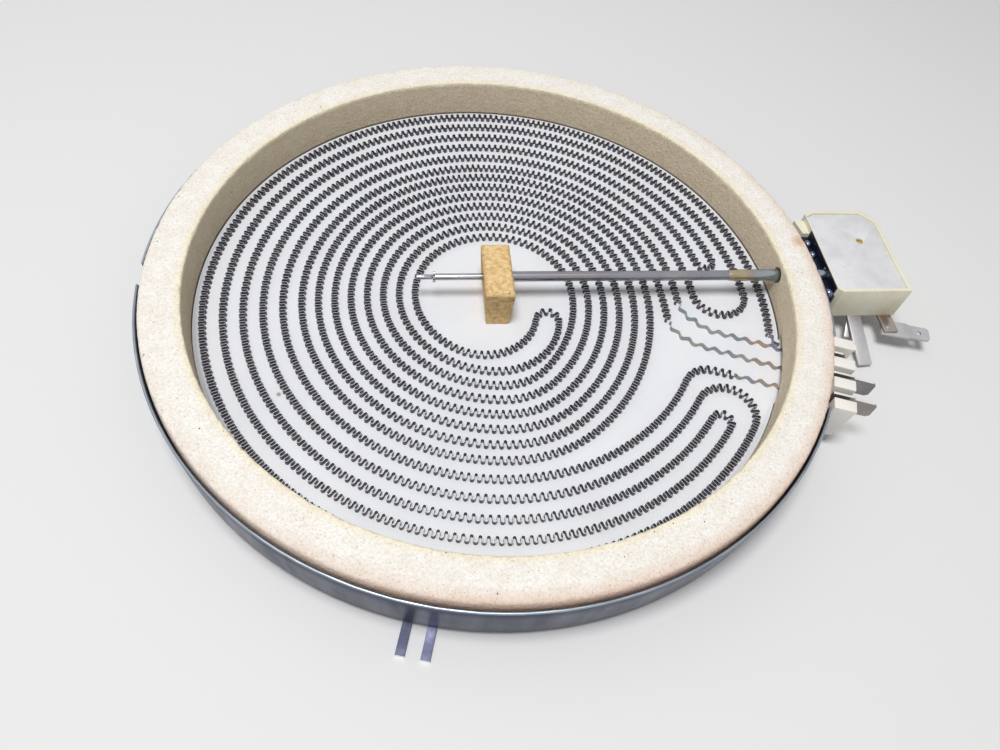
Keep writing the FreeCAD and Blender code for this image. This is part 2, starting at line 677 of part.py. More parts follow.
def make_leads():
    """Strips from the ribbons' ends to the tails of the terminal tabs."""
    along, across = turn_axes(size["block_angle"])
    tails = [turn(along, across, tail_start - 0.1, y + size["tab_tail_shift"])
             for y in tab_lines()]
    start = size["lead_1_start"]
    make_lead(1, [(widest_inner_track * cosine(start), widest_inner_track * sine(start)),
                  (size["lead_1_bend_x"], size["lead_1_bend_y"]), tails[0]])
    make_lead(2, [(size["inner_track_radius"] + size["inner_pitch"] * 6, size["lead_2_start"]),
                  (size["lead_2_bend_x"], size["lead_2_bend_y"]), tails[1]])
    aim, heading = size["lead_3_bend_angle"], size["lead_3_heading"]
    bend = size["lead_bend_radius"]
    reach = outer_track_radius + bend
    past = size["lead_3_run"] + 0.1
    make_lead(3, [(cosine(aim) * reach + cosine(heading) * bend + sine(heading) * past,
                   sine(aim) * reach + sine(heading) * bend - cosine(heading) * past), tails[2]])
    tail = size["outer_end"] - 0.6
    last = size["lead_4_end"]
    stop = ring_inner_radius - size["lead_4_gap"]
    make_lead(4, [(cosine(tail) * widest_outer_track, sine(tail) * widest_outer_track),
                  (cosine(last) * stop, sine(last) * stop)])


# Temperature limiter

def make_limiter_tube():
    body = new_body("limiter_tube", z=size["tube_height"])
    end = head_face + size["sleeve_into_head"]
    bar_along_x(body, "tube_wall_ring", -(size["tube_start"]), end, size["tube_radius"],
                size["tube_radius"] - size["tube_wall"])
    return body


def make_limiter_rod():
    """Expansion rod with its slim tip; it reaches into the switch head."""
    body = new_body("limiter_rod", z=size["tube_height"])
    start = -(size["rod_reach"])
    bar_along_x(body, "rod_bar", start, head_face + size["rod_into_head"],
                size["rod_radius"])
    bar_along_x(body, "rod_tip", start - size["rod_tip_length"], start, size["rod_tip_radius"])
    return body


def make_collar():
    """Stop collar with two ears, pressed on the rod."""
    body = new_body("rod_collar", x=-(size["rod_reach"]), z=size["tube_height"])
    bar_along_x(body, "collar_ring", zero, size["collar_width"], size["collar_radius"],
                size["rod_radius"])
    return body


def make_sleeve():
    body = new_body("limiter_sleeve", z=size["tube_height"])
    bore = size["tube_radius"] + size["sleeve_fit"]
    bar_along_x(body, "sleeve_ring", size["sleeve_start"],
                head_face + size["sleeve_into_head"], bore + size["sleeve_wall"], bore)
    return body


def head_outline(sketch, inset, face_inset):
    """The head seen from above, with its chamfered corners."""
    left, right = head_face + face_inset, head_back - inset
    low, high = size["head_near"] + inset, head_far - inset
    small, large = size["head_bevel"], size["head_corner"]
    polygon(sketch, [(left + small, low), (right, low), (right, high - large),
                     (right - large, high), (left + small * 2, high), (left, high - small),
                     (left, low + small)])


def make_head_body():
    """Ceramic housing of the switches, with a foot against the pan."""
    body = new_body("limiter_housing")
    shell = new_sketch(body, "XY_Plane", "housing_outline", head_bottom)
    head_outline(shell, zero, zero)
    pad(body, shell, size["head_height"], "housing_block")
    foot = new_sketch(body, "XY_Plane", "foot_outline", head_bottom)
    rectangle(foot, size["pan_radius"] - 8, head_face + 1, lug_start,
              lug_start + size["lug_length"])
    pad(body, foot, size["lug_top"] - head_bottom, "housing_foot")
    trim = new_sketch(body, "XY_Plane", "foot_trim_outline", head_top + 1)
    disc(trim, zero, zero, size["pan_radius"] + size["pan_clearance"])
    cut(body, trim, size["head_height"] + 2, "foot_trim")
    recess = new_sketch(body, "XY_Plane", "cover_recess_outline", head_top + 1)
    head_outline(recess, size["head_rim"], size["head_face_rim"])
    cut(body, recess, size["cover_thickness"] + size["cover_recess"] + 1, "cover_seat")
    wall = size["head_wall"]
    hollow = new_sketch(body, "XY_Plane", "switch_room_outline", head_top + 1)
    rectangle(hollow, head_face + wall, head_back - wall * 2,
              size["head_near"] + wall, head_far - wall - size["head_corner"])
    cut(body, hollow, size["head_height"] - size["head_floor"] + 1, "switch_room")
    bore = new_sketch(body, "YZ_Plane", "sleeve_bore_outline", head_face - 1)
    disc(bore, zero, size["tube_height"], size["tube_radius"] + size["sleeve_fit"]
         + size["sleeve_wall"] + size["block_bore_fit"])
    cut(body, bore, wall + 2, "sleeve_bore", other_way=True)
    return body


def make_cover():
    """Plate that closes the housing, with a hole for the adjusting screw."""
    body = new_body("limiter_cover")
    low = head_top - size["cover_recess"] - size["cover_thickness"]
    plate = new_sketch(body, "XY_Plane", "cover_outline", low)
    head_outline(plate, size["head_rim"] + size["cover_fit"],
                 size["head_face_rim"] + size["cover_fit"])
    disc(plate, head_face + size["screw_inset"], size["screw_y"],
         size["screw_radius"] + size["cover_fit"])
    pad(body, plate, size["cover_thickness"], "cover_plate")
    return body


def make_screw():
    """Brass adjusting screw with a slot."""
    top = head_top - size["cover_recess"]
    body = new_body("adjusting_screw", x=head_face + size["screw_inset"], y=size["screw_y"])
    shank = new_sketch(body, "XY_Plane", "screw_circle", top - size["screw_length"])
    disc(shank, zero, zero, size["screw_radius"])
    pad(body, shank, size["screw_length"], "screw_shank")
    slot = new_sketch(body, "XY_Plane", "screw_slot_outline", top + 1)
    rectangle(slot, -(size["screw_radius"] * 0.8), size["screw_radius"] * 0.8,
              -(size["screw_radius"] * 0.25), size["screw_radius"] * 0.25)
    cut(body, slot, size["screw_radius"] * 0.4 + 1, "screw_slot")
    return body


def make_bracket():
    """Folded bracket between the pan's wall and the head, in two legs round the sleeve."""
    body = new_body("limiter_bracket")
    sheet_size = size["bracket_sheet"]
    top = bracket_top
    inside = size["pan_radius"] - 8
    leg = new_sketch(body, "XY_Plane", "bracket_leg_outline", bracket_bottom)
    rectangle(leg, head_face - sheet_size, head_face, bracket_start,
              bracket_end)
    pad(body, leg, top - bracket_bottom, "bracket_leg")
    flange = new_sketch(body, "XY_Plane", "bracket_flange_outline", top - sheet_size)
    rectangle(flange, inside, head_face, bracket_start, bracket_end)
    pad(body, flange, sheet_size, "bracket_flange")
    trim = new_sketch(body, "XY_Plane", "bracket_trim_outline", top + 1)
    disc(trim, zero, zero, size["pan_radius"] + size["pan_clearance"])
    cut(body, trim, top - bracket_bottom + 2, "bracket_trim")
    gap = size["bracket_tube_gap"]
    opening = new_sketch(body, "XY_Plane", "bracket_gap_outline", top + 1)
    rectangle(opening, inside, head_face + 1, -gap, gap)
    cut(body, opening, top + 1 - size["tube_height"] + gap, "bracket_gap")
    return body


def rivet_spots():
    """Places of the rivet heads along the flange."""
    return [bracket_start + 1.6, bracket_end - 8.6, bracket_end - 3.5]


def make_rivets():
    """Heads on the flange, twelve-sided and bevelled, one group of separate solids."""
    radius = size["rivet_radius"]
    corners = []
    for i in range(12):
        angle = Size(30 * i, repr(30.0 * i))
        corners.append((cosine(angle) * radius, sine(angle) * radius))
    domes = []
    for i, y in enumerate(rivet_spots()):
        dome = new_body("rivet_dome_%d" % (i + 1), x=head_face - radius - 0.25, y=y,
                        z=bracket_top)
        outline = new_sketch(dome, "XY_Plane", dome.Name + "_outline")
        polygon(outline, corners)
        pad(dome, outline, radius * 0.85, dome.Name + "_head")
        dress(dome, "Chamfer", dome.Name + "_bevel", radius * 0.5, at_height(radius * 0.85))
        domes.append(dome)
    group = doc.addObject("Part::Compound", "bracket_rivets")
    group.Label = "bracket_rivets"
    group.Links = domes
    return group


def make_leaf(name, offset):
    """Spring strip across the switch room, held in its end walls."""
    body = new_body(name)
    low = size["tube_height"] - size["leaf_height"] / 2
    start = head_face + size["rod_into_head"] + offset
    strip = new_sketch(body, "XY_Plane", name + "_outline", low)
    rectangle(strip, start, start + size["leaf_thickness"], size["head_near"] + size["head_wall"],
              head_far - size["head_wall"] - size["head_corner"])
    pad(body, strip, size["leaf_height"], name + "_strip")
    return body


# Tabs of the limiter, on the housing's underside

def make_large_strap():
    body = new_body("large_tab_strap")
    half = size["large_strap_width"] / 2
    x = head_face + size["large_strap_inset"]
    tip = size["head_near"] - size["large_strap_overhang"]
    low = head_bottom - size["strap_thickness"]
    strap = new_sketch(body, "XY_Plane", "large_strap_outline", low)
    rectangle(strap, x - half, x + half, tip, size["head_near"] + size["strap_inside"])
    pad(body, strap, size["strap_thickness"], "large_strap")
    spot = new_sketch(body, "XY_Plane", "weld_outline", low + size["strap_thickness"])
    disc(spot, x, tip + half, size["weld_radius"])
    pad(body, spot, Size(0.15, "0.15"), "weld_spot")
    return body


def make_large_tab():
    """Push-on tab with a stepped root, a rounded tip and a hole, welded under the strap."""
    low = head_bottom - size["strap_thickness"] - size["tab_thickness"]
    root = size["large_strap_width"] / 2
    body = new_body("large_tab", x=head_face + size["large_strap_inset"],
                    y=size["head_near"] - size["large_strap_overhang"] + root,
                    angle=size["large_tab_angle"])
    half = size["large_tab_width"] / 2
    length = size["large_tab_length"]
    narrow = half * 0.92
    tab = new_sketch(body, "XY_Plane", "large_tab_outline", low)
    polygon(tab, [(-root, -half), (length * 0.45, -half), (length * 0.45, -narrow),
                  (length - half * 0.45, -narrow), (length, -narrow + half * 0.45),
                  (length, narrow - half * 0.45), (length - half * 0.45, narrow),
                  (length * 0.45, narrow), (length * 0.45, half), (-root, half)])
    disc(tab, length * 0.735, zero, size["large_tab_hole"])
    pad(body, tab, size["tab_thickness"], "large_tab_blade")
    return body


def make_falling_tab(name, x, y, angle, top, width, length, slope):
    """A strap under the head that folds down into a sloping tab."""
    thick = size["strap_thickness"]
    body = new_body(name, x=x, y=y, angle=angle)
    fall = sine(slope) * length
    reach = cosine(slope) * length
    inside = -(size["strap_inside"])
    profile = new_sketch(body, "XZ_Plane", name + "_side_view")
    polygon(profile, [(inside, top), (zero, top), (reach, top - fall), (reach, top - fall - thick),
                      (zero, top - thick), (inside, top - thick)])
    pad(body, profile, width, name + "_blade", midway=True)
    return body


# Terminal block and its tabs

def make_terminal_block():
    """Comb of fins on a web, let into the pan's wall."""
    body = new_body("terminal_block", angle=size["block_angle"])
    half = terminal_half_width()
    low, high = size["terminal_bottom"], terminal_top
    middle = size["block_middle"]
    face, web = terminal_face, size["terminal_web"]
    bar = new_sketch(body, "XY_Plane", "terminal_web_outline", low)
    rectangle(bar, face, face + web, middle - half, middle + half)
    pad(body, bar, size["terminal_web_height"], "terminal_web_bar")
    fin_side = new_sketch(body, "XZ_Plane", "fin_side_view", -(middle - half))
    tip = face + size["fin_length"]
    polygon(fin_side, [(face, low), (tip - size["fin_lean"], low), (tip, high), (face, high)])
    fin = pad(body, fin_side, size["fin_thickness"], "fin")
    fin.Reversed = True
    doc.recompute()
    row = body.newObject("PartDesign::LinearPattern", "fin_row")
    row.Originals = [fin]
    support = [item for item in body.Origin.OriginFeatures if item.Role == "Y_Axis"][0]
    row.Direction = (support, [""])
    bind(row, "Length", size["fin_pitch"] * (size["fin_count"] - 1))
    bind(row, "Occurrences", size["fin_count"])
    body.Tip = row
    for i, y in enumerate(tab_lines()):
        slot = new_sketch(body, "YZ_Plane", "tab_slot_%d_outline" % (i + 1), face - 1)
        wide = size["tab_thickness"] / 2 + size["tab_slot_fit"]
        rectangle(slot, y - wide, y + wide, base_top - size["tab_slot_fit"], high)
        cut(body, slot, web + 2, "tab_slot_%d" % (i + 1), other_way=True)
    return body


def tab_lines():
    """Middle lines of the three slots between the fins."""
    middle, pitch = size["block_middle"], size["fin_pitch"]
    return [middle + pitch, middle, middle - pitch]


def make_terminal_tab(number, y, length):
    """Push-on tab on edge, with a raised root and a low tail through the ring to its lead."""
    name = "terminal_tab_%d" % number
    body = new_body(name, angle=size["block_angle"])
    top = terminal_top - size["tab_drop"]
    blade_top = top - size["tab_shoulder"]
    low = blade_top - size["tab_height"]
    tail_low = base_top + size["tab_slot_fit"]
    face = terminal_face
    root, reach = face + size["terminal_web"], face + length
    bevel = size["tab_bevel"]
    side = new_sketch(body, "XZ_Plane", name + "_side_view", -y)
    step = face + size["fin_length"]
    crest = top if number == 1 else blade_top
    blade = [(root, low), (reach - bevel, low), (reach, low + bevel), (reach, crest - bevel),
             (reach - bevel, crest)]
    if number > 1:
        blade += [(step, blade_top), (step, top)]
    polygon(side, [(face, tail_low), (root, tail_low)] + blade + [(face, top)])
    pad(body, side, size["tab_thickness"], name + "_blade", midway=True)
    half = size["tab_thickness"] / 2
    start, shifted = tail_start, y + size["tab_tail_shift"]
    tail = new_sketch(body, "XY_Plane", name + "_tail_outline", tail_low)
    polygon(tail, [(start, shifted - half), (start + 1, shifted - half), (face - 1, y - half),
                   (face + 1, y - half), (face + 1, y + half), (face - 0.6, y + half),
                   (start + 1.4, shifted + half), (start, shifted + half)])
    pad(body, tail, size["tab_tail_height"], name + "_tail")
    return body


# Fixing forks under the pan

def make_fork(name, angle):
    """Flat plate with two fingers that reach out past the pan's wall."""
    body = new_body(name, z=-(size["fork_sheet"]), angle=angle)
    outside = (size["finger_pitch"] + size["finger_width"]) / 2
    inside = (size["finger_pitch"] - size["finger_width"]) / 2
    sketch = new_sketch(body, "XY_Plane", name + "_outline")
    start, tip = size["pan_radius"] - size["fork_root"], size["pan_radius"] + size["fork_overhang"]
    split = tip - size["finger_length"]
    polygon(sketch, [(start, -outside), (tip, -outside), (tip, -inside), (split, -inside),
                     (split, inside), (tip, inside), (tip, outside), (start, outside)])
    pad(body, sketch, size["fork_sheet"], name + "_plate")
    return body


make_pan()
make_base()
make_ring()
make_centre_block()
make_circuit("inner_coil", inner_circuit())
make_circuit("outer_coil", outer_circuit())
make_leads()
make_limiter_tube()
make_limiter_rod()
make_collar()
make_sleeve()
make_head_body()
make_cover()
make_screw()
make_bracket()
make_rivets()
make_leaf("limit_switch_spring", zero)
make_leaf("warning_switch_spring", size["leaf_gap"])
make_large_strap()
make_large_tab()
make_falling_tab("small_tab", head_face + size["small_tab_inset"], size["head_near"],
                 size["small_tab_angle"], head_bottom, size["small_tab_width"],
                 size["small_tab_length"], size["small_tab_slope"])
make_falling_tab("side_tab", head_face + size["side_tab_inset"], size["head_near"] + 0.6,
                 size["side_tab_angle"], head_bottom - size["strap_thickness"],
                 size["side_tab_width"], size["side_tab_length"], size["side_tab_slope"])
make_terminal_block()
for number, line in enumerate(tab_lines(), start=1):
    make_terminal_tab(number, line, size["short_tab_length" if number == 1 else "tab_length"])
make_fork("front_fork", size["fork_angle"])
make_fork("rear_fork", size["fork_angle"] + 180)

doc.recompute()
for item in doc.Objects:
    if "Invalid" in item.State or "Error" in item.State:
        raise RuntimeError("%s is %s" % (item.Name, item.State))
own = ("PartDesign::Body", "Part::Compound", "Part::Feature")
kept = [item for item in doc.Objects
        if item.TypeId in own and not item.Name.startswith("rivet_dome")]
for item in kept:
    if item.Shape.isNull() or not item.Shape.isValid():
        raise RuntimeError("bad shape in " + item.Label)
    item.Shape.exportStep("parts/%s.step" % item.Label)
    print("%-24s %3d solids %10.1f mm3" % (item.Label, len(item.Shape.Solids), item.Shape.Volume))
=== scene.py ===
import math

import bmesh
import bpy
import numpy as np
from mathutils import Matrix, Vector, noise


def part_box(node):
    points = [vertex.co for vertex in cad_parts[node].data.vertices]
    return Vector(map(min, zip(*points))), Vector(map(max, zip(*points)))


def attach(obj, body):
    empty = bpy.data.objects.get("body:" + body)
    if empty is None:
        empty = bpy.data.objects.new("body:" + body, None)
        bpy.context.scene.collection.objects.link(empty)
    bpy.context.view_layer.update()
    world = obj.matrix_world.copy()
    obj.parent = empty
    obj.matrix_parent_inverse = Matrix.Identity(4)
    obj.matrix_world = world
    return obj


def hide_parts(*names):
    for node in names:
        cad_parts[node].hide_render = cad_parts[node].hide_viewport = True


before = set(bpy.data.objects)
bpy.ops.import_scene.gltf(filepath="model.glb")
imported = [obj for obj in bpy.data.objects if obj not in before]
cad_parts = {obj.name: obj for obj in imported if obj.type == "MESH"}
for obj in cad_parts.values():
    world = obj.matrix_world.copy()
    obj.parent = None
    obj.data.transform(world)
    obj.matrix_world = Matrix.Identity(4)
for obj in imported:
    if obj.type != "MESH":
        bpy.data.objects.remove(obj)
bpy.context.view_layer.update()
mm = 0.001
print("frame loaded,", len(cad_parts), "nodes")


# Small helpers for objects and meshes

meshCare = {"weld": 1e-7, "flat": 0.4, "sharpEdge": 28}  # metres and degrees


def newObject(name, data):
    item = bpy.data.objects.new(name, data)
    bpy.context.scene.collection.objects.link(item)
    return item


def bakeObject(body, helpers=()):
    # the mesh with its modifiers applied; the working objects are taken away again
    graph = bpy.context.evaluated_depsgraph_get()
    result = bpy.data.meshes.new_from_object(body.evaluated_get(graph))
    for item in [body, *helpers]:
        bpy.data.objects.remove(item)
    return result


def meshFromWork(work, name):
    mesh = bpy.data.meshes.new(name)
    work.to_mesh(mesh)
    work.free()
    return mesh


def fixNormals(mesh, weld=False):
    work = bmesh.new()
    work.from_mesh(mesh)
    if weld:
        bmesh.ops.remove_doubles(work, verts=work.verts, dist=meshCare["weld"])
    bmesh.ops.recalc_face_normals(work, faces=work.faces)
    work.to_mesh(mesh)
    work.free()
    return mesh


def finishMesh(mesh, sharpAngle=30):
    mesh.validate()
    mesh.polygons.foreach_set("use_smooth", [True] * len(mesh.polygons))
    mesh.set_sharp_from_angle(angle=math.radians(sharpAngle))
    mesh.update()
    return mesh


def addPiece(name, mesh, material, replaced=()):
    piece = newObject(name, mesh)
    mesh.materials.clear()
    mesh.materials.append(material)
    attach(piece, "root")
    if replaced:
        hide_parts(*replaced)
    return piece


def meshFromGrid(name, grid, closedAcross=True, closedAlong=False, capEnds=False):
    # grid[i, j] holds the points in mm: i runs along, j runs across
    rows, columns = grid.shape[:2]
    points = grid.reshape(-1, 3) * mm
    i = np.arange(rows if closedAlong else rows - 1)
    j = np.arange(columns if closedAcross else columns - 1)
    i, j = np.meshgrid(i, j, indexing="ij")
    nextI, nextJ = (i + 1) % rows, (j + 1) % columns
    quads = np.stack([i * columns + j, i * columns + nextJ,
                      nextI * columns + nextJ, nextI * columns + j], axis=-1).reshape(-1, 4)
    faces = quads.tolist()
    if capEnds:
        faces.append(list(range(columns))[::-1])
        faces.append([(rows - 1) * columns + k for k in range(columns)])
    mesh = bpy.data.meshes.new(name)
    mesh.from_pydata(points.tolist(), [], faces)
    return mesh


def latheMesh(name, profile, steps, shift=(0, 0, 0), axis="Z", closed=True):
    # profile is a list of (radius, height) in mm
    angle = np.arange(steps) * 2 * math.pi / steps
    radius = np.array([p[0] for p in profile])[None, :]
    height = np.array([p[1] for p in profile])[None, :] + angle[:, None] * 0
    across, up = radius * np.cos(angle)[:, None], radius * np.sin(angle)[:, None]
    order = {"Z": (across, up, height), "X": (height, across, up)}[axis]
    grid = np.stack(order, axis=-1) + np.array(shift)
    return meshFromGrid(name, grid, closedAcross=closed, closedAlong=True)


def cleanCopy(node):
    # a copy of a CAD node's mesh, with its flat faces joined
    work = bmesh.new()
    work.from_mesh(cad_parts[node].data)
    bmesh.ops.remove_doubles(work, verts=work.verts, dist=meshCare["weld"])
    bmesh.ops.dissolve_limit(work, angle_limit=math.radians(meshCare["flat"]), verts=work.verts,
                             edges=work.edges)
    return work


def roundEdges(work, width, sharpest):
    # small rounded edges where two faces meet at more than the given angle
    edges = [e for e in work.edges
             if len(e.link_faces) == 2 and e.calc_face_angle(0) > math.radians(sharpest)]
    bmesh.ops.bevel(work, geom=edges, offset=width * mm, segments=2, profile=0.5,
                    affect="EDGES", clamp_overlap=True)


def softCopy(node, width):
    work = cleanCopy(node)
    roundEdges(work, width, meshCare["sharpEdge"])
    return finishMesh(meshFromWork(work, node + "_soft"), 35)


# Shared shader effects, each one node group

def newGroup(name, inputs, outputs):
    group = bpy.data.node_groups.new(name, "ShaderNodeTree")
    for label, kind, start in inputs:
        socket = group.interface.new_socket(label, in_out="INPUT", socket_type=kind)
        if start is not None:
            socket.default_value = start
    for label, kind in outputs:
        group.interface.new_socket(label, in_out="OUTPUT", socket_type=kind)
    entry = group.nodes.new("NodeGroupInput")
    leave = group.nodes.new("NodeGroupOutput")
    return group, entry, leave


def plug(tree, socket, value):
    # links the socket to another one, or sets it
    if isinstance(value, bpy.types.NodeSocket):
        tree.links.new(value, socket)
    else:
        socket.default_value = value


def addNode(tree, kind, settings=None, **sockets):
    node = tree.nodes.new(kind)
    for field, value in (settings or {}).items():
        setattr(node, field, value)
    for label, value in sockets.items():
        plug(tree, node.inputs[label.replace("_", " ")], value)
    return node


def mixColour(tree, factor, first, second, blend="MIX"):
    node = addNode(tree, "ShaderNodeMix", {"data_type": "RGBA", "blend_type": blend})
    for index, value in ((0, factor), (6, first), (7, second)):
        plug(tree, node.inputs[index], value)
    return node.outputs[2]


def arithmetic(tree, operation, first, second=0.0):
    node = addNode(tree, "ShaderNodeMath", {"operation": operation})
    plug(tree, node.inputs[0], first)
    plug(tree, node.inputs[1], second)
    return node.outputs[0]


def ramp(tree, value, low, high, fromLow=0.0, fromHigh=1.0):
    # carries a range over to another one and stops at its ends
    node = addNode(tree, "ShaderNodeMapRange", {"clamp": True}, Value=value, From_Min=fromLow,
                   From_Max=fromHigh, To_Min=low, To_Max=high)
    return node.outputs[0]


def vectorNode(tree, operation, vector, second, output="Value"):
    node = addNode(tree, "ShaderNodeVectorMath", {"operation": operation})
    plug(tree, node.inputs[0], vector)
    plug(tree, node.inputs[1], second)
    return node.outputs[output]


def makeMottle():
    # blends two colours in soft patches
    group, entry, leave = newGroup("mottle", [
        ("Vector", "NodeSocketVector", None), ("Colour A", "NodeSocketColor", None),
        ("Colour B", "NodeSocketColor", None), ("Scale", "NodeSocketFloat", 100.0),
        ("Low", "NodeSocketFloat", 0.35), ("High", "NodeSocketFloat", 0.65)],
        [("Colour", "NodeSocketColor"), ("Mask", "NodeSocketFloat")])
    cloud = addNode(group, "ShaderNodeTexNoise", Vector=entry.outputs["Vector"],
                    Scale=entry.outputs["Scale"], Detail=4.0, Roughness=0.6)
    mask = ramp(group, cloud.outputs["Fac"], 0.0, 1.0, entry.outputs["Low"],
                entry.outputs["High"])
    colour = mixColour(group, mask, entry.outputs["Colour A"], entry.outputs["Colour B"])
    group.links.new(colour, leave.inputs["Colour"])
    group.links.new(mask, leave.inputs["Mask"])
    return group


def makeFlecks():
    # scattered specks: cells whose random value is under the share, out to a radius
    group, entry, leave = newGroup("flecks", [
        ("Vector", "NodeSocketVector", None), ("Ground", "NodeSocketColor", None),
        ("Fleck", "NodeSocketColor", None), ("Scale", "NodeSocketFloat", 500.0),
        ("Share", "NodeSocketFloat", 0.1), ("Size", "NodeSocketFloat", 0.35)],
        [("Colour", "NodeSocketColor"), ("Mask", "NodeSocketFloat")])
    bend = addNode(group, "ShaderNodeTexNoise", Vector=entry.outputs["Vector"],
                   Scale=entry.outputs["Scale"], Detail=1.0)
    shift = group.nodes.new("ShaderNodeVectorMath")
    shift.operation = "MULTIPLY_ADD"
    group.links.new(bend.outputs["Color"], shift.inputs[0])
    shift.inputs[1].default_value = (0.0004, 0.0004, 0.0004)
    group.links.new(entry.outputs["Vector"], shift.inputs[2])
    cells = addNode(group, "ShaderNodeTexVoronoi", Vector=shift.outputs[0],
                    Scale=entry.outputs["Scale"])
    split = addNode(group, "ShaderNodeSeparateColor", Color=cells.outputs["Color"])
    chosen = arithmetic(group, "LESS_THAN", split.outputs[0], entry.outputs["Share"])
    radius = arithmetic(group, "MULTIPLY", split.outputs[1], entry.outputs["Size"])
    near = ramp(group, cells.outputs["Distance"], 1.0, 0.0, radius,
                arithmetic(group, "ADD", radius, 0.12))
    mask = arithmetic(group, "MULTIPLY", chosen, near)
    colour = mixColour(group, mask, entry.outputs["Ground"], entry.outputs["Fleck"])
    group.links.new(colour, leave.inputs["Colour"])
    group.links.new(mask, leave.inputs["Mask"])
    return group


def makeGrain():
    # two sizes of grain as one height
    group, entry, leave = newGroup("grain", [
        ("Vector", "NodeSocketVector", None), ("Coarse", "NodeSocketFloat", 500.0),
        ("Fine", "NodeSocketFloat", 2000.0), ("Fine Share", "NodeSocketFloat", 0.4)],
        [("Height", "NodeSocketFloat")])
    coarse = addNode(group, "ShaderNodeTexNoise", Vector=entry.outputs["Vector"],
                     Scale=entry.outputs["Coarse"], Detail=3.0)
    fine = addNode(group, "ShaderNodeTexNoise", Vector=entry.outputs["Vector"],
                   Scale=entry.outputs["Fine"], Detail=2.0)
    part = arithmetic(group, "MULTIPLY", fine.outputs["Fac"], entry.outputs["Fine Share"])
    height = arithmetic(group, "ADD", coarse.outputs["Fac"], part)
    group.links.new(height, leave.inputs["Height"])
    return group


def makeTemper():
    # heat colours of steel in bands that follow a soft noise
    group, entry, leave = newGroup("temper", [
        ("Vector", "NodeSocketVector", None), ("Metal", "NodeSocketColor", None),
        ("Scale", "NodeSocketFloat", 60.0), ("Amount", "NodeSocketFloat", 0.5)],
        [("Colour", "NodeSocketColor")])
    cloud = addNode(group, "ShaderNodeTexNoise", Vector=entry.outputs["Vector"],
                    Scale=entry.outputs["Scale"], Detail=2.0)
    bands = group.nodes.new("ShaderNodeValToRGB")
    group.links.new(cloud.outputs["Fac"], bands.inputs["Fac"])
    stops = [(0.30, (0.30, 0.33, 0.32, 1)), (0.42, (0.42, 0.27, 0.14, 1)),
             (0.50, (0.26, 0.13, 0.14, 1)), (0.58, (0.15, 0.14, 0.26, 1)),
             (0.68, (0.16, 0.24, 0.30, 1)), (0.80, (0.33, 0.36, 0.35, 1))]
    bands.color_ramp.elements[0].position = stops[0][0]
    bands.color_ramp.elements[0].color = stops[0][1]
    bands.color_ramp.elements[1].position = stops[-1][0]
    bands.color_ramp.elements[1].color = stops[-1][1]
    for place, colour in stops[1:-1]:
        bands.color_ramp.elements.new(place).color = colour
    colour = mixColour(group, entry.outputs["Amount"], entry.outputs["Metal"],
                       bands.outputs["Color"])
    group.links.new(colour, leave.inputs["Colour"])
    return group


mottle = makeMottle()
flecks = makeFlecks()
grain = makeGrain()
temper = makeTemper()
print("shader groups made")


def useGroup(tree, group, **sockets):
    return addNode(tree, "ShaderNodeGroup", {"node_tree": group}, **sockets)


def startMaterial(name, metallic=0.0, roughness=0.6):
    material = bpy.data.materials.new(name)
    material.use_nodes = True
    tree = material.node_tree
    shader = tree.nodes["Principled BSDF"]
    shader.inputs["Metallic"].default_value = metallic
    shader.inputs["Roughness"].default_value = roughness
    place = tree.nodes.new("ShaderNodeTexCoord").outputs["Object"]
    return material, tree, shader, place


def addBump(tree, shader, height, strength, distance):
    bump = addNode(tree, "ShaderNodeBump", Height=height, Strength=strength, Distance=distance)
    tree.links.new(bump.outputs["Normal"], shader.inputs["Normal"])


def addGrain(tree, shader, place, coarse, fine, fineShare, strength, depth):
    height = useGroup(tree, grain, Vector=place, Coarse=coarse, Fine=fine, Fine_Share=fineShare)
    addBump(tree, shader, height.outputs["Height"], strength, depth)


def rgba(red, green, blue):
    return (red, green, blue, 1.0)


# Materials of this element

ringLook = {
    "cream": rgba(0.87, 0.82, 0.74), "pale": rgba(0.97, 0.955, 0.915),
    "platelet": rgba(0.72, 0.62, 0.50), "dark": rgba(0.15, 0.11, 0.09),
    "grey": rgba(0.55, 0.53, 0.50), "pink": rgba(0.86, 0.66, 0.56),
    "wall": rgba(0.92, 0.87, 0.83), "band": rgba(0.80, 0.72, 0.68),
    "cloud": rgba(0.95, 0.93, 0.90), "straw": rgba(1.0, 0.93, 0.74),
    "jointShade": rgba(0.34, 0.33, 0.40), "scorch": rgba(0.62, 0.33, 0.13),
}
# where the tones of the ring start and end, in metres
ringZones = {
    "pinkRadius": (0.1000, 0.1040), "pinkSide": (-0.06, 0.10), "lipRadius": (0.0930, 0.0953),
    "wallRadius": (0.0927, 0.0930), "wallHeight": (0.0190, 0.0206),
    "jointShadeHeight": (0.0079, 0.0082), "sideRadius": (0.1038, 0.1042),
    "sideHeight": (0.0188, 0.0202), "scorchPlace": (0.1012, 0.0105, 0.0207),
    "scorchReach": (0.0022, 0.0046),
}


def distanceFrom(tree, place, point):
    return vectorNode(tree, "DISTANCE", place, point)


def towardsAxis(tree, axis):
    # how far a face looks along an axis, either way
    normal = tree.nodes.new("ShaderNodeNewGeometry").outputs["Normal"]
    return arithmetic(tree, "ABSOLUTE", vectorNode(tree, "DOT_PRODUCT", normal, axis))


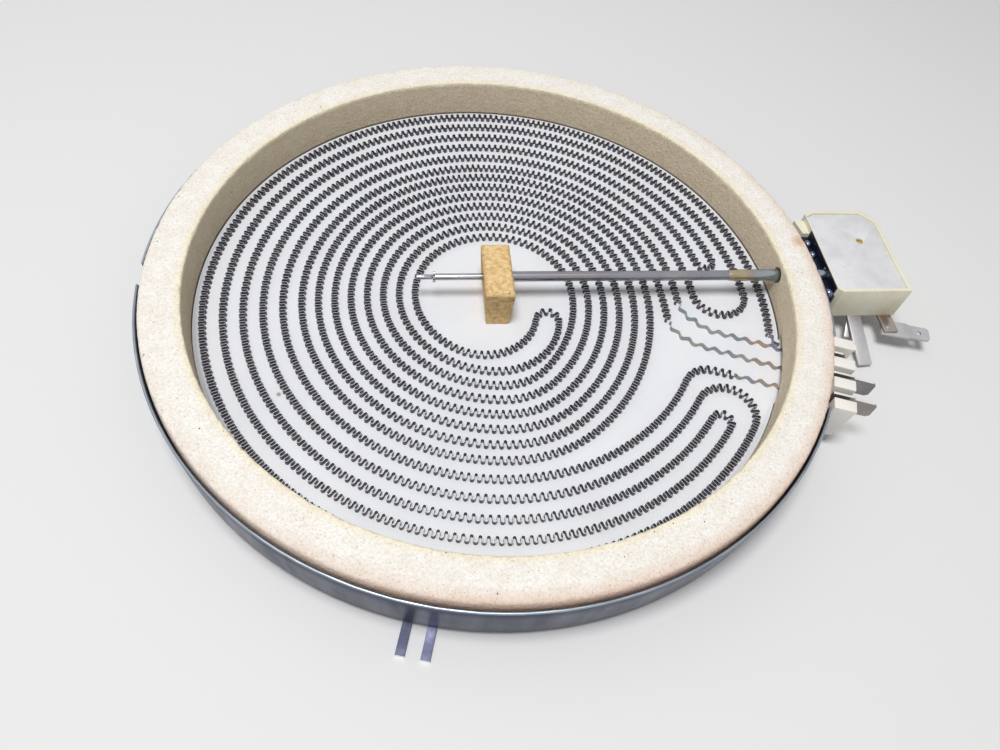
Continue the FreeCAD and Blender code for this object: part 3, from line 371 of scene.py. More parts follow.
def makeRingMaterial():
    material, tree, shader, place = startMaterial("vermiculite", roughness=0.92)
    shader.inputs["Specular IOR Level"].default_value = 0.25
    ground = useGroup(tree, mottle, Vector=place, Colour_A=ringLook["cream"],
                      Colour_B=ringLook["pale"], Scale=1300.0, Low=0.36, High=0.58)
    clouded = useGroup(tree, mottle, Vector=place, Colour_A=ringLook["cloud"],
                       Colour_B=rgba(1, 1, 1), Scale=260.0, Low=0.38, High=0.62)
    blended = mixColour(tree, 1.0, ground.outputs["Colour"], clouded.outputs["Colour"],
                        "MULTIPLY")
    plates = useGroup(tree, flecks, Vector=place, Ground=blended,
                      Fleck=ringLook["platelet"], Scale=1900.0, Share=0.16, Size=0.34)
    greys = useGroup(tree, flecks, Vector=place, Ground=plates.outputs["Colour"],
                     Fleck=ringLook["grey"], Scale=2300.0, Share=0.12, Size=0.34)
    specks = useGroup(tree, flecks, Vector=place, Ground=greys.outputs["Colour"],
                      Fleck=ringLook["dark"], Scale=1500.0, Share=0.010, Size=0.26)
    split = addNode(tree, "ShaderNodeSeparateXYZ", Vector=place)
    x, y, z = split.outputs
    radius = arithmetic(tree, "SQRT", arithmetic(tree, "ADD", arithmetic(tree, "MULTIPLY", x, x),
                                                 arithmetic(tree, "MULTIPLY", y, y)))
    # pinkish tone towards the outer edge, stronger at the right and in front
    outer = ramp(tree, radius, 0.0, 1.0, *ringZones["pinkRadius"])
    side = ramp(tree, arithmetic(tree, "SUBTRACT", x, y), 0.12, 0.75, *ringZones["pinkSide"])
    toned = mixColour(tree, arithmetic(tree, "MULTIPLY", outer, side), specks.outputs["Colour"],
                      ringLook["pink"], "MULTIPLY")
    # a straw-coloured line round the opening
    lip = ramp(tree, radius, 0.8, 0.0, *ringZones["lipRadius"])
    lipped = mixColour(tree, lip, toned, ringLook["straw"], "MULTIPLY")
    # inner wall below the top edge, browned by the heat and darkened with painted shade, and
    # painted shade dark at the joint with the base
    inside = ramp(tree, radius, 1.0, 0.0, *ringZones["wallRadius"])
    below = ramp(tree, z, 1.0, 0.0, *ringZones["wallHeight"])
    heatedAndShaded = mixColour(tree, arithmetic(tree, "MULTIPLY", inside, below), lipped,
                       ringLook["wall"], "MULTIPLY")
    # painted shade in the narrow gap where the wall meets the base
    jointShadeMask = ramp(tree, z, 1.0, 0.0, *ringZones["jointShadeHeight"])
    walled = mixColour(tree, arithmetic(tree, "MULTIPLY", inside, jointShadeMask), heatedAndShaded,
                       ringLook["jointShade"], "MULTIPLY")
    # outer side between the worn edge and the pan's rim, toned darker and browner
    outside = ramp(tree, radius, 0.0, 1.0, *ringZones["sideRadius"])
    low = ramp(tree, z, 1.0, 0.0, *ringZones["sideHeight"])
    banded = mixColour(tree, arithmetic(tree, "MULTIPLY", outside, low), walled,
                       ringLook["band"], "MULTIPLY")
    # scorch mark beside the limiter
    edge = addNode(tree, "ShaderNodeTexNoise", Vector=place, Scale=700.0, Detail=3.0)
    reach = arithmetic(tree, "ADD", distanceFrom(tree, place, ringZones["scorchPlace"]),
                       arithmetic(tree, "MULTIPLY", edge.outputs["Fac"], 0.003))
    scorchMask = ramp(tree, reach, 0.62, 0.0, *ringZones["scorchReach"])
    final = mixColour(tree, scorchMask, banded, ringLook["scorch"])
    tree.links.new(final, shader.inputs["Base Color"])
    height = useGroup(tree, grain, Vector=place, Coarse=900.0, Fine=2800.0, Fine_Share=0.5)
    dents = arithmetic(tree, "SUBTRACT", height.outputs["Height"],
                       arithmetic(tree, "MULTIPLY", specks.outputs["Mask"], 0.6))
    addBump(tree, shader, dents, 0.8, 0.0004)
    return material


def makeBaseMaterial():
    material, tree, shader, place = startMaterial("feltedBase", roughness=0.85)
    shader.inputs["Specular IOR Level"].default_value = 0.2
    ground = useGroup(tree, mottle, Vector=place, Colour_A=rgba(0.78, 0.795, 0.83),
                      Colour_B=rgba(0.83, 0.84, 0.865), Scale=45.0, Low=0.35, High=0.65)
    specks = useGroup(tree, flecks, Vector=place, Ground=ground.outputs["Colour"],
                      Fleck=rgba(0.30, 0.20, 0.14), Scale=170.0, Share=0.035, Size=0.06)
    tree.links.new(specks.outputs["Colour"], shader.inputs["Base Color"])
    addGrain(tree, shader, place, coarse=120.0, fine=1500.0, fineShare=0.25, strength=0.25,
             depth=0.0003)
    return material


def makeBlockMaterial():
    material, tree, shader, place = startMaterial("blockVermiculite", roughness=0.9)
    shader.inputs["Specular IOR Level"].default_value = 0.25
    ground = useGroup(tree, mottle, Vector=place, Colour_A=rgba(0.63, 0.40, 0.16),
                      Colour_B=rgba(0.86, 0.63, 0.33), Scale=700.0, Low=0.36, High=0.62)
    plates = useGroup(tree, flecks, Vector=place, Ground=ground.outputs["Colour"],
                      Fleck=rgba(0.86, 0.68, 0.42), Scale=1300.0, Share=0.3, Size=0.36)
    specks = useGroup(tree, flecks, Vector=place, Ground=plates.outputs["Colour"],
                      Fleck=rgba(0.36, 0.21, 0.09), Scale=1500.0, Share=0.14, Size=0.34)
    tree.links.new(specks.outputs["Colour"], shader.inputs["Base Color"])
    addGrain(tree, shader, place, coarse=800.0, fine=2600.0, fineShare=0.5, strength=0.6,
             depth=0.0004)
    return material


def makeRibbonMaterial():
    material, tree, shader, place = startMaterial("heatingRibbon", metallic=0.6, roughness=0.5)
    tinted = useGroup(tree, temper, Vector=place, Metal=rgba(0.105, 0.108, 0.130), Scale=90.0,
                      Amount=0.12)
    # heat colours where the outer ribbon ends at the ring
    reach = distanceFrom(tree, place, (0.0885, -0.0205, 0.0075))
    vivid = useGroup(tree, temper, Vector=place, Metal=rgba(0.30, 0.30, 0.34), Scale=420.0,
                     Amount=0.8)
    ended = mixColour(tree, ramp(tree, reach, 0.75, 0.0, 0.003, 0.011), tinted.outputs["Colour"],
                      vivid.outputs["Colour"])
    worn = useGroup(tree, mottle, Vector=place, Colour_A=rgba(0.6, 0.62, 0.70),
                    Colour_B=rgba(1.15, 1.12, 1.1), Scale=420.0, Low=0.3, High=0.7)
    colour = mixColour(tree, 1.0, ended, worn.outputs["Colour"], "MULTIPLY")
    # painted highlight: the faces looking up are lighter
    edge = ramp(tree, towardsAxis(tree, (0, 0, 1)), 0.0, 1.0, 0.5, 0.8)
    topHighlighted = mixColour(tree, edge, colour, rgba(0.58, 0.58, 0.62))
    tree.links.new(topHighlighted, shader.inputs["Base Color"])
    addGrain(tree, shader, place, coarse=900.0, fine=3000.0, fineShare=0.4, strength=0.1,
             depth=0.0001)
    return material


def makeLeadMaterial():
    # pale drawn-out ribbon, straw and blue where it nears the ring
    material, tree, shader, place = startMaterial("leadRibbon", metallic=0.7, roughness=0.36)
    tinted = useGroup(tree, temper, Vector=place, Metal=rgba(0.36, 0.44, 0.44), Scale=150.0,
                      Amount=0.42)
    split = addNode(tree, "ShaderNodeSeparateXYZ", Vector=place)
    cloud = addNode(tree, "ShaderNodeTexNoise", Vector=place, Scale=260.0, Detail=2.0)
    along = arithmetic(tree, "ADD", split.outputs[0],
                       arithmetic(tree, "MULTIPLY", cloud.outputs["Fac"], 0.006))
    straw = mixColour(tree, ramp(tree, along, 0.0, 0.6, 0.0800, 0.0850),
                      tinted.outputs["Colour"], rgba(0.50, 0.33, 0.22))
    blue = mixColour(tree, ramp(tree, along, 0.0, 0.75, 0.0890, 0.0915), straw,
                     rgba(0.16, 0.19, 0.34))
    # painted highlight: the faces looking up are lighter
    edge = ramp(tree, towardsAxis(tree, (0, 0, 1)), 0.0, 0.8, 0.5, 0.8)
    topHighlighted = mixColour(tree, edge, blue, rgba(0.72, 0.72, 0.72))
    tree.links.new(topHighlighted, shader.inputs["Base Color"])
    addGrain(tree, shader, place, coarse=900.0, fine=3000.0, fineShare=0.4, strength=0.1,
             depth=0.0001)
    return material


def makePanMaterial():
    # dark blue painted reflection of dark surroundings with faint upright streaks, and a lighter
    # band at the rim as a painted highlight
    material, tree, shader, place = startMaterial("panSteel", metallic=0.9, roughness=0.26)
    split = addNode(tree, "ShaderNodeSeparateXYZ", Vector=place)
    squeezed = vectorNode(tree, "MULTIPLY", place, (1.0, 1.0, 0.12), "Vector")
    # painted reflection of dark surroundings, in faint upright streaks
    wall = useGroup(tree, mottle, Vector=squeezed, Colour_A=rgba(0.030, 0.038, 0.075),
                    Colour_B=rgba(0.055, 0.065, 0.115), Scale=120.0, Low=0.32, High=0.68)
    rim = useGroup(tree, mottle, Vector=place, Colour_A=rgba(0.20, 0.24, 0.29),
                   Colour_B=rgba(0.33, 0.37, 0.41), Scale=90.0, Low=0.3, High=0.7)
    # painted highlight on the rim's top edge
    rimHighlight = ramp(tree, split.outputs[2], 0.0, 1.0, 0.01755, 0.0179)
    colour = mixColour(tree, rimHighlight, wall.outputs["Colour"], rim.outputs["Colour"])
    tree.links.new(colour, shader.inputs["Base Color"])
    rough = ramp(tree, wall.outputs["Mask"], 0.40, 0.28)
    tree.links.new(rough, shader.inputs["Roughness"])
    addGrain(tree, shader, place, coarse=250.0, fine=3000.0, fineShare=0.3, strength=0.08,
             depth=0.0001)
    return material


def makeSteelMaterial(name, metal, roughness=0.3, temperAmount=0.0, temperScale=60.0,
                      patches=0.25, highlightAxis=None):
    material, tree, shader, place = startMaterial(name, metallic=0.95, roughness=roughness)
    darker = tuple(c * (1 - patches) for c in metal[:3]) + (1.0,)
    toned = useGroup(tree, mottle, Vector=place, Colour_A=darker, Colour_B=metal, Scale=80.0,
                     Low=0.35, High=0.62)
    colour = toned.outputs["Colour"]
    if temperAmount:
        tinted = useGroup(tree, temper, Vector=place, Metal=colour, Scale=temperScale,
                          Amount=temperAmount)
        colour = tinted.outputs["Colour"]
    if highlightAxis:
        # painted highlight: faces that look along the axis are lighter
        edge = ramp(tree, towardsAxis(tree, highlightAxis), 0.0, 1.0, 0.75, 0.9)
        colour = mixColour(tree, edge, colour, rgba(0.78, 0.77, 0.74))
    tree.links.new(colour, shader.inputs["Base Color"])
    rough = ramp(tree, toned.outputs["Mask"], roughness * 1.35, roughness * 0.8)
    tree.links.new(rough, shader.inputs["Roughness"])
    addGrain(tree, shader, place, coarse=300.0, fine=3000.0, fineShare=0.4, strength=0.08,
             depth=0.0001)
    return material


def makeSleeveMaterial():
    # straw-coloured by heat at the inner end, plain steel at the ring
    material, tree, shader, place = startMaterial("sleeveSteel", metallic=0.95, roughness=0.25)
    split = addNode(tree, "ShaderNodeSeparateXYZ", Vector=place)
    cloud = addNode(tree, "ShaderNodeTexNoise", Vector=place, Scale=160.0, Detail=2.0)
    along = arithmetic(tree, "ADD", split.outputs[0],
                       arithmetic(tree, "MULTIPLY", cloud.outputs["Fac"], 0.004))
    share = ramp(tree, along, 0.0, 1.0, 0.0835, 0.0885)
    colour = mixColour(tree, share, rgba(0.42, 0.35, 0.23), rgba(0.31, 0.36, 0.39))
    toned = useGroup(tree, mottle, Vector=place, Colour_A=rgba(0.78, 0.78, 0.8),
                     Colour_B=rgba(1, 1, 1), Scale=140.0, Low=0.35, High=0.62)
    final = mixColour(tree, 1.0, colour, toned.outputs["Colour"], "MULTIPLY")
    tree.links.new(final, shader.inputs["Base Color"])
    addGrain(tree, shader, place, coarse=300.0, fine=3000.0, fineShare=0.4, strength=0.08,
             depth=0.0001)
    return material


def makeCeramicMaterial(name, light, shade, roughness=0.45):
    material, tree, shader, place = startMaterial(name, roughness=roughness)
    ground = useGroup(tree, mottle, Vector=place, Colour_A=shade, Colour_B=light, Scale=110.0,
                      Low=0.3, High=0.6)
    specks = useGroup(tree, flecks, Vector=place, Ground=ground.outputs["Colour"],
                      Fleck=rgba(0.35, 0.28, 0.18), Scale=600.0, Share=0.04, Size=0.14)
    tree.links.new(specks.outputs["Colour"], shader.inputs["Base Color"])
    addGrain(tree, shader, place, coarse=350.0, fine=2200.0, fineShare=0.35, strength=0.15,
             depth=0.0002)
    return material


looks = {
    "vermiculite": makeRingMaterial(),
    "base": makeBaseMaterial(),
    "block": makeBlockMaterial(),
    "ribbon": makeRibbonMaterial(),
    "lead": makeLeadMaterial(),
    "pan": makePanMaterial(),
    "fork": makeSteelMaterial("forkSteel", rgba(0.17, 0.18, 0.27), 0.55,
                              highlightAxis=(-0.254, -0.967, 0.0)),
    "tube": makeSteelMaterial("tubeSteel", rgba(0.31, 0.31, 0.345), 0.2, 0.10, 45.0),
    "sleeve": makeSleeveMaterial(),
    "rod": makeSteelMaterial("rodSteel", rgba(0.42, 0.42, 0.46), 0.2),
    "steatite": makeCeramicMaterial("steatite", rgba(0.85, 0.82, 0.67), rgba(0.76, 0.71, 0.53)),
    "cover": makeCeramicMaterial("coverPlate", rgba(0.75, 0.75, 0.765), rgba(0.63, 0.635, 0.65),
                                 0.6),
    "brass": makeSteelMaterial("brassScrew", rgba(0.60, 0.42, 0.14), 0.35),
    "fins": makeCeramicMaterial("finSteatite", rgba(0.87, 0.855, 0.80), rgba(0.84, 0.81, 0.74)),
    "bracket": makeSteelMaterial("bracketSteel", rgba(0.045, 0.052, 0.090), 0.5),
    "rivet": makeSteelMaterial("rivetSteel", rgba(0.16, 0.18, 0.26), 0.16),
    "spring": makeSteelMaterial("springSteel", rgba(0.55, 0.55, 0.55), 0.3),
    "tab": makeSteelMaterial("tabSteel", rgba(0.56, 0.56, 0.575), 0.36, 0.06),
    "terminal": makeSteelMaterial("terminalSteel", rgba(0.30, 0.28, 0.27), 0.3, 0.1,
                                  highlightAxis=(0, 0, 1)),
    "strap": makeSteelMaterial("strapSteel", rgba(0.44, 0.37, 0.31), 0.36, 0.25, 160.0),
}
print("materials made")


# Insulating ring, with worn edges

ringForm = {"inner": 92.6, "outer": 104.3, "foot": 6.6, "top": 20.7, "steps": 900,
            "roughness": 0.05, "chips": 0.34}


def makeRing():
    f = ringForm
    inner, outer, foot, top = f["inner"], f["outer"], f["foot"], f["top"]
    profile = [(inner, foot + 1.13 * k, 0.0) for k in range(12)]
    profile += [(inner, top - 0.55, 0.5), (inner + 0.12, top - 0.22, 1.0),
                (inner + 0.38, top - 0.04, 0.8), (inner + 0.8, top, 0.3)]
    profile += [(inner + 1.6 + 0.95 * k, top, 0.0) for k in range(9)]
    profile += [(outer - 1.1, top, 0.4), (outer - 0.62, top - 0.10, 0.9),
                (outer - 0.26, top - 0.34, 1.0), (outer - 0.06, top - 0.78, 0.8),
                (outer, top - 1.3, 0.3)]
    # the side is drafted, wider towards the pan's floor
    profile += [(outer + min(0.5, 0.25 + 0.12 * k), top - 2.2 - 1.3 * k, 0.0) for k in range(9)]
    profile += [(outer + 0.5, foot, 0.0)]
    steps = f["steps"]
    grid = np.zeros((steps, len(profile), 3))
    for i in range(steps):
        angle = 2 * math.pi * i / steps
        cosine, sine = math.cos(angle), math.sin(angle)
        for j, (radius, height, worn) in enumerate(profile):
            spot = Vector((radius * cosine, radius * sine, height))
            rough = noise.noise(spot * 0.9) * f["roughness"]
            bite = max(0.0, noise.noise(spot * 0.55 + Vector((7, 3, 1))) + 0.15
                       + 0.5 * noise.noise(spot * 1.7)) * f["chips"] * worn
            inward = rough - f["roughness"]
            if worn:
                sign = 1 if radius > (inner + outer) / 2 else -1
                radius = radius - sign * bite * 0.8
                height = height - bite * 0.7
            elif height >= top - 1e-6:
                height = height + inward
            elif radius > inner + 5:
                radius = radius + inward
            else:
                radius = radius - inward
            grid[i, j] = (radius * cosine, radius * sine, height)
    mesh = meshFromGrid("ring", grid, closedAcross=True, closedAlong=True)
    return cutOut(mesh, [tubeHoleCutter(), leadTunnelCutter()])


limiterForm = {"height": 15.8, "hole": 2.7}
blockTurn = -19.0  # the terminal block's own frame, turned from the tube


def tubeHoleCutter():
    hole = limiterForm["hole"]
    return latheMesh("holeCutter", [(0.0, 85.0), (hole, 85.0), (hole, 112.0), (0.0, 112.0)], 48,
                     shift=(0, 0, limiterForm["height"]), axis="X", closed=False)


def blockPoint(along, across, height):
    turn = math.radians(blockTurn)
    return Vector((along * math.cos(turn) - across * math.sin(turn),
                   along * math.sin(turn) + across * math.cos(turn), height))


tunnelForm = {"from": 86, "to": 108, "sides": (-15, 11), "heights": (5.0, 9.6)}


def leadTunnelCutter():
    near, far = tunnelForm["from"], tunnelForm["to"]
    low, high = tunnelForm["sides"]
    corners = [blockPoint(u, w, z) * mm for z in tunnelForm["heights"] for u, w in
               ((near, low), (far, low), (far, high), (near, high))]
    mesh = bpy.data.meshes.new("tunnelCutter")
    mesh.from_pydata([tuple(c) for c in corners], [],
                     [(3, 2, 1, 0), (4, 5, 6, 7), (0, 1, 5, 4), (1, 2, 6, 5), (2, 3, 7, 6),
                      (3, 0, 4, 7)])
    return mesh


def cutOut(mesh, cutters):
    body = newObject("cutWork", mesh)
    helpers = []
    for cutter in cutters:
        helper = newObject("cutHelper", fixNormals(cutter, weld=True))
        change = body.modifiers.new("cut", "BOOLEAN")
        change.object = helper
        change.operation = "DIFFERENCE"
        change.solver = "EXACT"
        helpers.append(helper)
    return bakeObject(body, helpers)


ringMesh = makeRing()
addPiece("vermiculite_ring", finishMesh(fixNormals(ringMesh), 50), looks["vermiculite"],
         ["ring_insulation"])
print("ring made", len(ringMesh.polygons))


# Insulating base, with a soft rise at the ring

baseForm = {"radius": 103.5, "floor": 0.8, "top": 6.6, "riseFrom": 90.9, "riseTo": 92.3,
            "rise": 0.95, "steps": 480}


def makeBase():
    f = baseForm
    profile = [(0.0, f["floor"]), (f["radius"] - 2.2, f["floor"]),
               (f["radius"], f["floor"] + 2.2), (f["radius"], f["top"])]
    profile += [(f["riseTo"], f["top"]), (f["riseTo"], f["top"] + f["rise"])]
    for k in range(7):
        share = k / 6
        angle = math.radians(90 * share)
        profile.append((f["riseTo"] - 0.25 - (f["riseTo"] - f["riseFrom"]) * math.sin(angle)
                        * share ** 0.4, f["top"] + f["rise"] * (1 - math.sin(angle))))
    profile += [(r, f["top"]) for r in (88.0, 70.0, 50.0, 30.0, 12.0, 0.0)]
    mesh = latheMesh("base", profile, f["steps"], closed=True)
    # no rise where the leads leave
    along = blockPoint(1, 0, 0)
    across = blockPoint(0, 1, 0)
    low, high = tunnelForm["sides"]
    for vertex in mesh.vertices:
        spot = vertex.co / mm
        u, w = spot.dot(along), spot.dot(across)
        if u > 80 and low < w < high and spot.z > f["top"]:
            vertex.co.z = f["top"] * mm
    return mesh


addPiece("base_disc", finishMesh(fixNormals(makeBase()), 60), looks["base"],
         ["base_insulation"])
print("base made")


# Heating ribbons: folded into waves and set on edge in the base

ribbonForm = {"wave": 2.12, "bendWave": 2.35, "swing": 1.04, "thickness": 0.13, "foot": 6.3,
              "top": 8.58, "bendSteps": 7}


def arcPiece(cx, cy, radius, start, end):
    return ("arc", cx, cy, radius, math.radians(start), math.radians(end))


def linePiece(x0, y0, x1, y1):
    return ("line", x0, y0, x1, y1)


def pieceLength(piece):
    if piece[0] == "line":
        return math.hypot(piece[3] - piece[1], piece[4] - piece[2])
    return piece[3] * abs(piece[5] - piece[4])


def onPath(path, distances):
    # points, headings and bend radii at the given distances along the path
    lengths = np.array([pieceLength(p) for p in path])
    starts = np.concatenate([[0], np.cumsum(lengths)])
    index = np.clip(np.searchsorted(starts, distances, side="right") - 1, 0, len(path) - 1)
    points = np.zeros((len(distances), 3))
    headings = np.zeros((len(distances), 3))
    for k, piece in enumerate(path):
        mask = index == k
        if not mask.any():
            continue
        along = distances[mask] - starts[k]
        if piece[0] == "line":
            dx, dy = piece[3] - piece[1], piece[4] - piece[2]
            size = math.hypot(dx, dy)
            points[mask, 0] = piece[1] + dx * along / size
            points[mask, 1] = piece[2] + dy * along / size
            headings[mask, :2] = (dx / size, dy / size)
        else:
            _, cx, cy, radius, a0, a1 = piece
            way = 1 if a1 > a0 else -1
            angle = a0 + way * along / radius
            points[mask, 0] = cx + radius * np.cos(angle)
            points[mask, 1] = cy + radius * np.sin(angle)
            headings[mask, 0] = -way * np.sin(angle)
            headings[mask, 1] = way * np.cos(angle)
    return points, headings


def transitionPieces(near, far, downward):
    # two tangent arcs between the +X axis at one radius and the -Y axis at a wider one
    second = near * near / far
    first = (near * near + far * far - 2 * far * second) / (2 * (near - second))
    split = -math.degrees(math.atan2(far - second, first - near))
    rows = [(near - first, 0, first, 0, split), (0, second - far, second, split, -90)]
    if downward:
        return [arcPiece(*row) for row in rows]
    return [arcPiece(cx, cy, r, b, a) for cx, cy, r, a, b in reversed(rows)]


def circlePoint(radius, angle):
    return radius * math.cos(math.radians(angle)), radius * math.sin(math.radians(angle))


def halfTurn(inside, outside, angle, clockwise, outward):
    cx, cy = circlePoint((inside + outside) / 2, angle)
    start = angle + (180 if outward else 0)
    return arcPiece(cx, cy, (outside - inside) / 2, start, start + (-180 if clockwise else 180))


innerPath = {"first": 25.4, "pitch": 5.0, "start": -4.6, "end": -13.5, "outerLeg": 21.0,
             "innerLeg": 17.0, "outerTangent": 262.0, "innerTangent": 239.0, "bend": -7.0}


def innerCircuit():
    f = innerPath
    radius = [f["first"] + k * f["pitch"] for k in range(8)]
    path = [arcPiece(0, 0, radius[7], f["start"], 270)]
    for k in (7, 5, 3):
        path += transitionPieces(radius[k - 2], radius[k], False)
        path.append(arcPiece(0, 0, radius[k - 2], 0, f["outerTangent"] if k == 3 else 270))
    outerCentre = Vector(circlePoint(radius[1] - f["outerLeg"], f["outerTangent"]))
    innerCentre = Vector(circlePoint(radius[0] - f["innerLeg"], f["innerTangent"]))
    apart = outerCentre - innerCentre
    aim = Vector(circlePoint(1, f["bend"]))
    bend = ((apart.dot(apart) + 2 * f["outerLeg"] * apart.dot(aim) + f["outerLeg"] ** 2
             - f["innerLeg"] ** 2) / (2 * apart.dot(aim) + 2 * f["outerLeg"] + 2 * f["innerLeg"]))
    bendCentre = outerCentre + aim * (f["outerLeg"] - bend)
    meet = bendCentre - innerCentre
    meetAngle = math.degrees(math.atan2(meet.y, meet.x))
    path.append(arcPiece(*outerCentre, f["outerLeg"], f["outerTangent"], 360 + f["bend"]))
    path.append(arcPiece(*bendCentre, bend, f["bend"], 180 + meetAngle))
    path.append(arcPiece(*innerCentre, f["innerLeg"], 360 + meetAngle, f["innerTangent"]))
    path.append(arcPiece(0, 0, radius[0], f["innerTangent"], 0))
    for k in (0, 2, 4):
        path += transitionPieces(radius[k], radius[k + 2], True)
        path.append(arcPiece(0, 0, radius[k + 2], 270, 0))
    path.append(linePiece(radius[6], 0, radius[6], f["end"]))
    return path


outerPath = {"first": 66.1, "pitch": 5.88, "bendRadius": 8.0, "start": -32.0, "heading": 72.0,
             "run": 6.5, "hook": -0.8, "lower": -38.5, "upper": 10.3, "loop": -35.5, "end": -12.5}


def outerCircuit():
    f = outerPath
    radius = [f["first"] + k * f["pitch"] for k in range(5)]
    cx, cy = circlePoint(radius[0] + f["bendRadius"], f["start"])
    dx, dy = circlePoint(f["bendRadius"], f["heading"])
    runX, runY = circlePoint(f["run"], f["heading"] - 90)
    return [
        linePiece(cx + dx + runX, cy + dy + runY, cx + dx, cy + dy),
        arcPiece(cx, cy, f["bendRadius"], f["heading"], 180 + f["start"]),
        arcPiece(0, 0, radius[0], f["start"], -360 + f["hook"]),
        halfTurn(radius[0], radius[3], f["hook"], False, True),
        arcPiece(0, 0, radius[3], f["hook"], 360 + f["lower"]),
        halfTurn(radius[2], radius[3], f["lower"], False, False),
        arcPiece(0, 0, radius[2], f["lower"], -360 + f["upper"]),
        halfTurn(radius[1], radius[2], f["upper"], True, False),
        arcPiece(0, 0, radius[1], f["upper"], 360 + f["loop"]),
        halfTurn(radius[1], radius[4], f["loop"], True, True),
        arcPiece(0, 0, radius[4], f["loop"], -360 + f["end"])]


def waveLengths(path, distances):
    # tight bends open the waves, and the hand-set runs are never quite even
    lengths = np.array([pieceLength(p) for p in path])
    starts = np.concatenate([[0], np.cumsum(lengths)])
    index = np.clip(np.searchsorted(starts, distances, side="right") - 1, 0, len(path) - 1)
    tight = np.array([p[0] == "arc" and p[3] < 4 for p in path])[index].astype(float)
    window = np.ones(25) / 25
    tight = np.convolve(np.pad(tight, 12, mode="edge"), window, mode="valid")
    uneven = 1 + 0.03 * np.sin(distances / 9.1) + 0.03 * np.sin(distances / 33.0 + 2)
    form = ribbonForm
    return (form["wave"] + (form["bendWave"] - form["wave"]) * tight) * uneven


def standingRibbon(name, line, foot, top, thickness):
    # a strip on edge along a flat line of points
    along = np.gradient(line, axis=0)
    along /= np.linalg.norm(along, axis=1)[:, None]
    side = np.stack([-along[:, 1], along[:, 0]], axis=1) * thickness / 2
    foot, top = foot + line[:, 0] * 0, top + line[:, 0] * 0
    corners = [(line + side, foot), (line + side, top), (line - side, top), (line - side, foot)]
    grid = np.stack([np.column_stack([flat, height]) for flat, height in corners], axis=1)
    return finishMesh(meshFromGrid(name, grid, closedAcross=True, capEnds=True), 50)


def makeRibbon(name, path):
    f = ribbonForm
    total = sum(pieceLength(p) for p in path)
    fine = np.linspace(0, total, int(total / 0.12))
    wave = waveLengths(path, fine)
    turns = np.concatenate([[0], np.cumsum(np.diff(fine) * 2 / (wave[1:] + wave[:-1]))])
    # one wave: a round fold to the left, a flank straight across, a fold to the right
    turn = np.linspace(math.pi, 0, f["bendSteps"])
    share = np.concatenate([0.25 * np.cos(turn), 0.5 + 0.25 * np.cos(turn)])
    hand = np.repeat([1.0, -1.0], f["bendSteps"])
    bulge = np.tile(np.sin(turn), 2)
    count = int(turns[-1])
    number = np.arange(1, count + 1)[:, None]
    # the flanks lean a little, each its own way
    lean = 0.012 * np.sin(number * 2.3) + 0.010 * np.sin(number * 0.71 + 1)
    phase = (number - 1 + 0.25 + share[None, :] + lean * hand[None, :]).ravel()
    reach = f["swing"] * (1 + 0.02 * np.sin(number * 1.7) + 0.02 * np.sin(number * 0.37))
    fold = f["wave"] / 4
    across = (hand[None, :] * (reach - fold + fold * bulge[None, :])).ravel()
    across, phase = across[phase < turns[-1]], phase[phase < turns[-1]]
    distances = np.interp(phase, turns, fine)
    points, headings = onPath(path, distances)
    side = np.stack([-headings[:, 1], headings[:, 0]], axis=1)
    flat = points[:, :2] + side * across[:, None]
    top = f["top"] - 0.10 * (1 + np.sin(distances / 2.9) * np.sin(distances / 7.7 + 1))
    mesh = standingRibbon(name, flat, f["foot"], top, f["thickness"])
    print(name, "waves", int(turns[-1]), "faces", len(mesh.polygons))
    return mesh


addPiece("inner_ribbon", makeRibbon("inner_ribbon", innerCircuit()), looks["ribbon"],
         ["inner_coil"])
addPiece("outer_ribbon", makeRibbon("outer_ribbon", outerCircuit()), looks["ribbon"],
         ["outer_coil"])
print("ribbons made")


# Leads: the ribbon drawn out to shallow waves

leadForm = {"wave": 4.3, "swing": 0.60, "foot": 6.4, "top": 8.38, "thickness": 0.16}


def smoothRoute(corners, rounding=3.0):
    # straight runs with rounded corners, as even points
    route = [np.array(corners[0])]
    for before, corner, after in zip(corners, corners[1:], corners[2:]):
        before, corner, after = np.array(before), np.array(corner), np.array(after)
        first = (before - corner) / np.linalg.norm(before - corner)
        second = (after - corner) / np.linalg.norm(after - corner)
        reach = min(rounding, 0.45 * np.linalg.norm(before - corner),
                    0.45 * np.linalg.norm(after - corner))
        for k in range(9):
            t = k / 8
            route.append((1 - t) ** 2 * (corner + first * reach) + 2 * t * (1 - t) * corner
                         + t ** 2 * (corner + second * reach))
    route.append(np.array(corners[-1]))
    route = np.array(route)
    steps = np.linalg.norm(np.diff(route, axis=0), axis=1)
    walked = np.concatenate([[0], np.cumsum(steps)])
    even = np.linspace(0, walked[-1], int(walked[-1] / 0.2))
    return even, np.stack([np.interp(even, walked, route[:, k]) for k in (0, 1)], axis=1)


def makeLead(name, corners, phase):
    f = leadForm
    even, flat = smoothRoute(corners)
    heading = np.gradient(flat, axis=0)
    heading /= np.linalg.norm(heading, axis=1)[:, None]
    side = np.stack([-heading[:, 1], heading[:, 0]], axis=1)
    angle = even * 2 * math.pi / f["wave"] + phase
    fade = np.minimum(1.0, np.minimum(even, even[-1] - even) / 1.2 + 0.3)
    swing = f["swing"] * fade * (1 + 0.18 * np.sin(even * 0.9 + phase))
    line = flat + side * (swing * np.sin(angle))[:, None]
    top = f["top"] + 0.12 * np.sin(even * 0.8 + phase)
    return standingRibbon(name, line, f["foot"], top, f["thickness"])


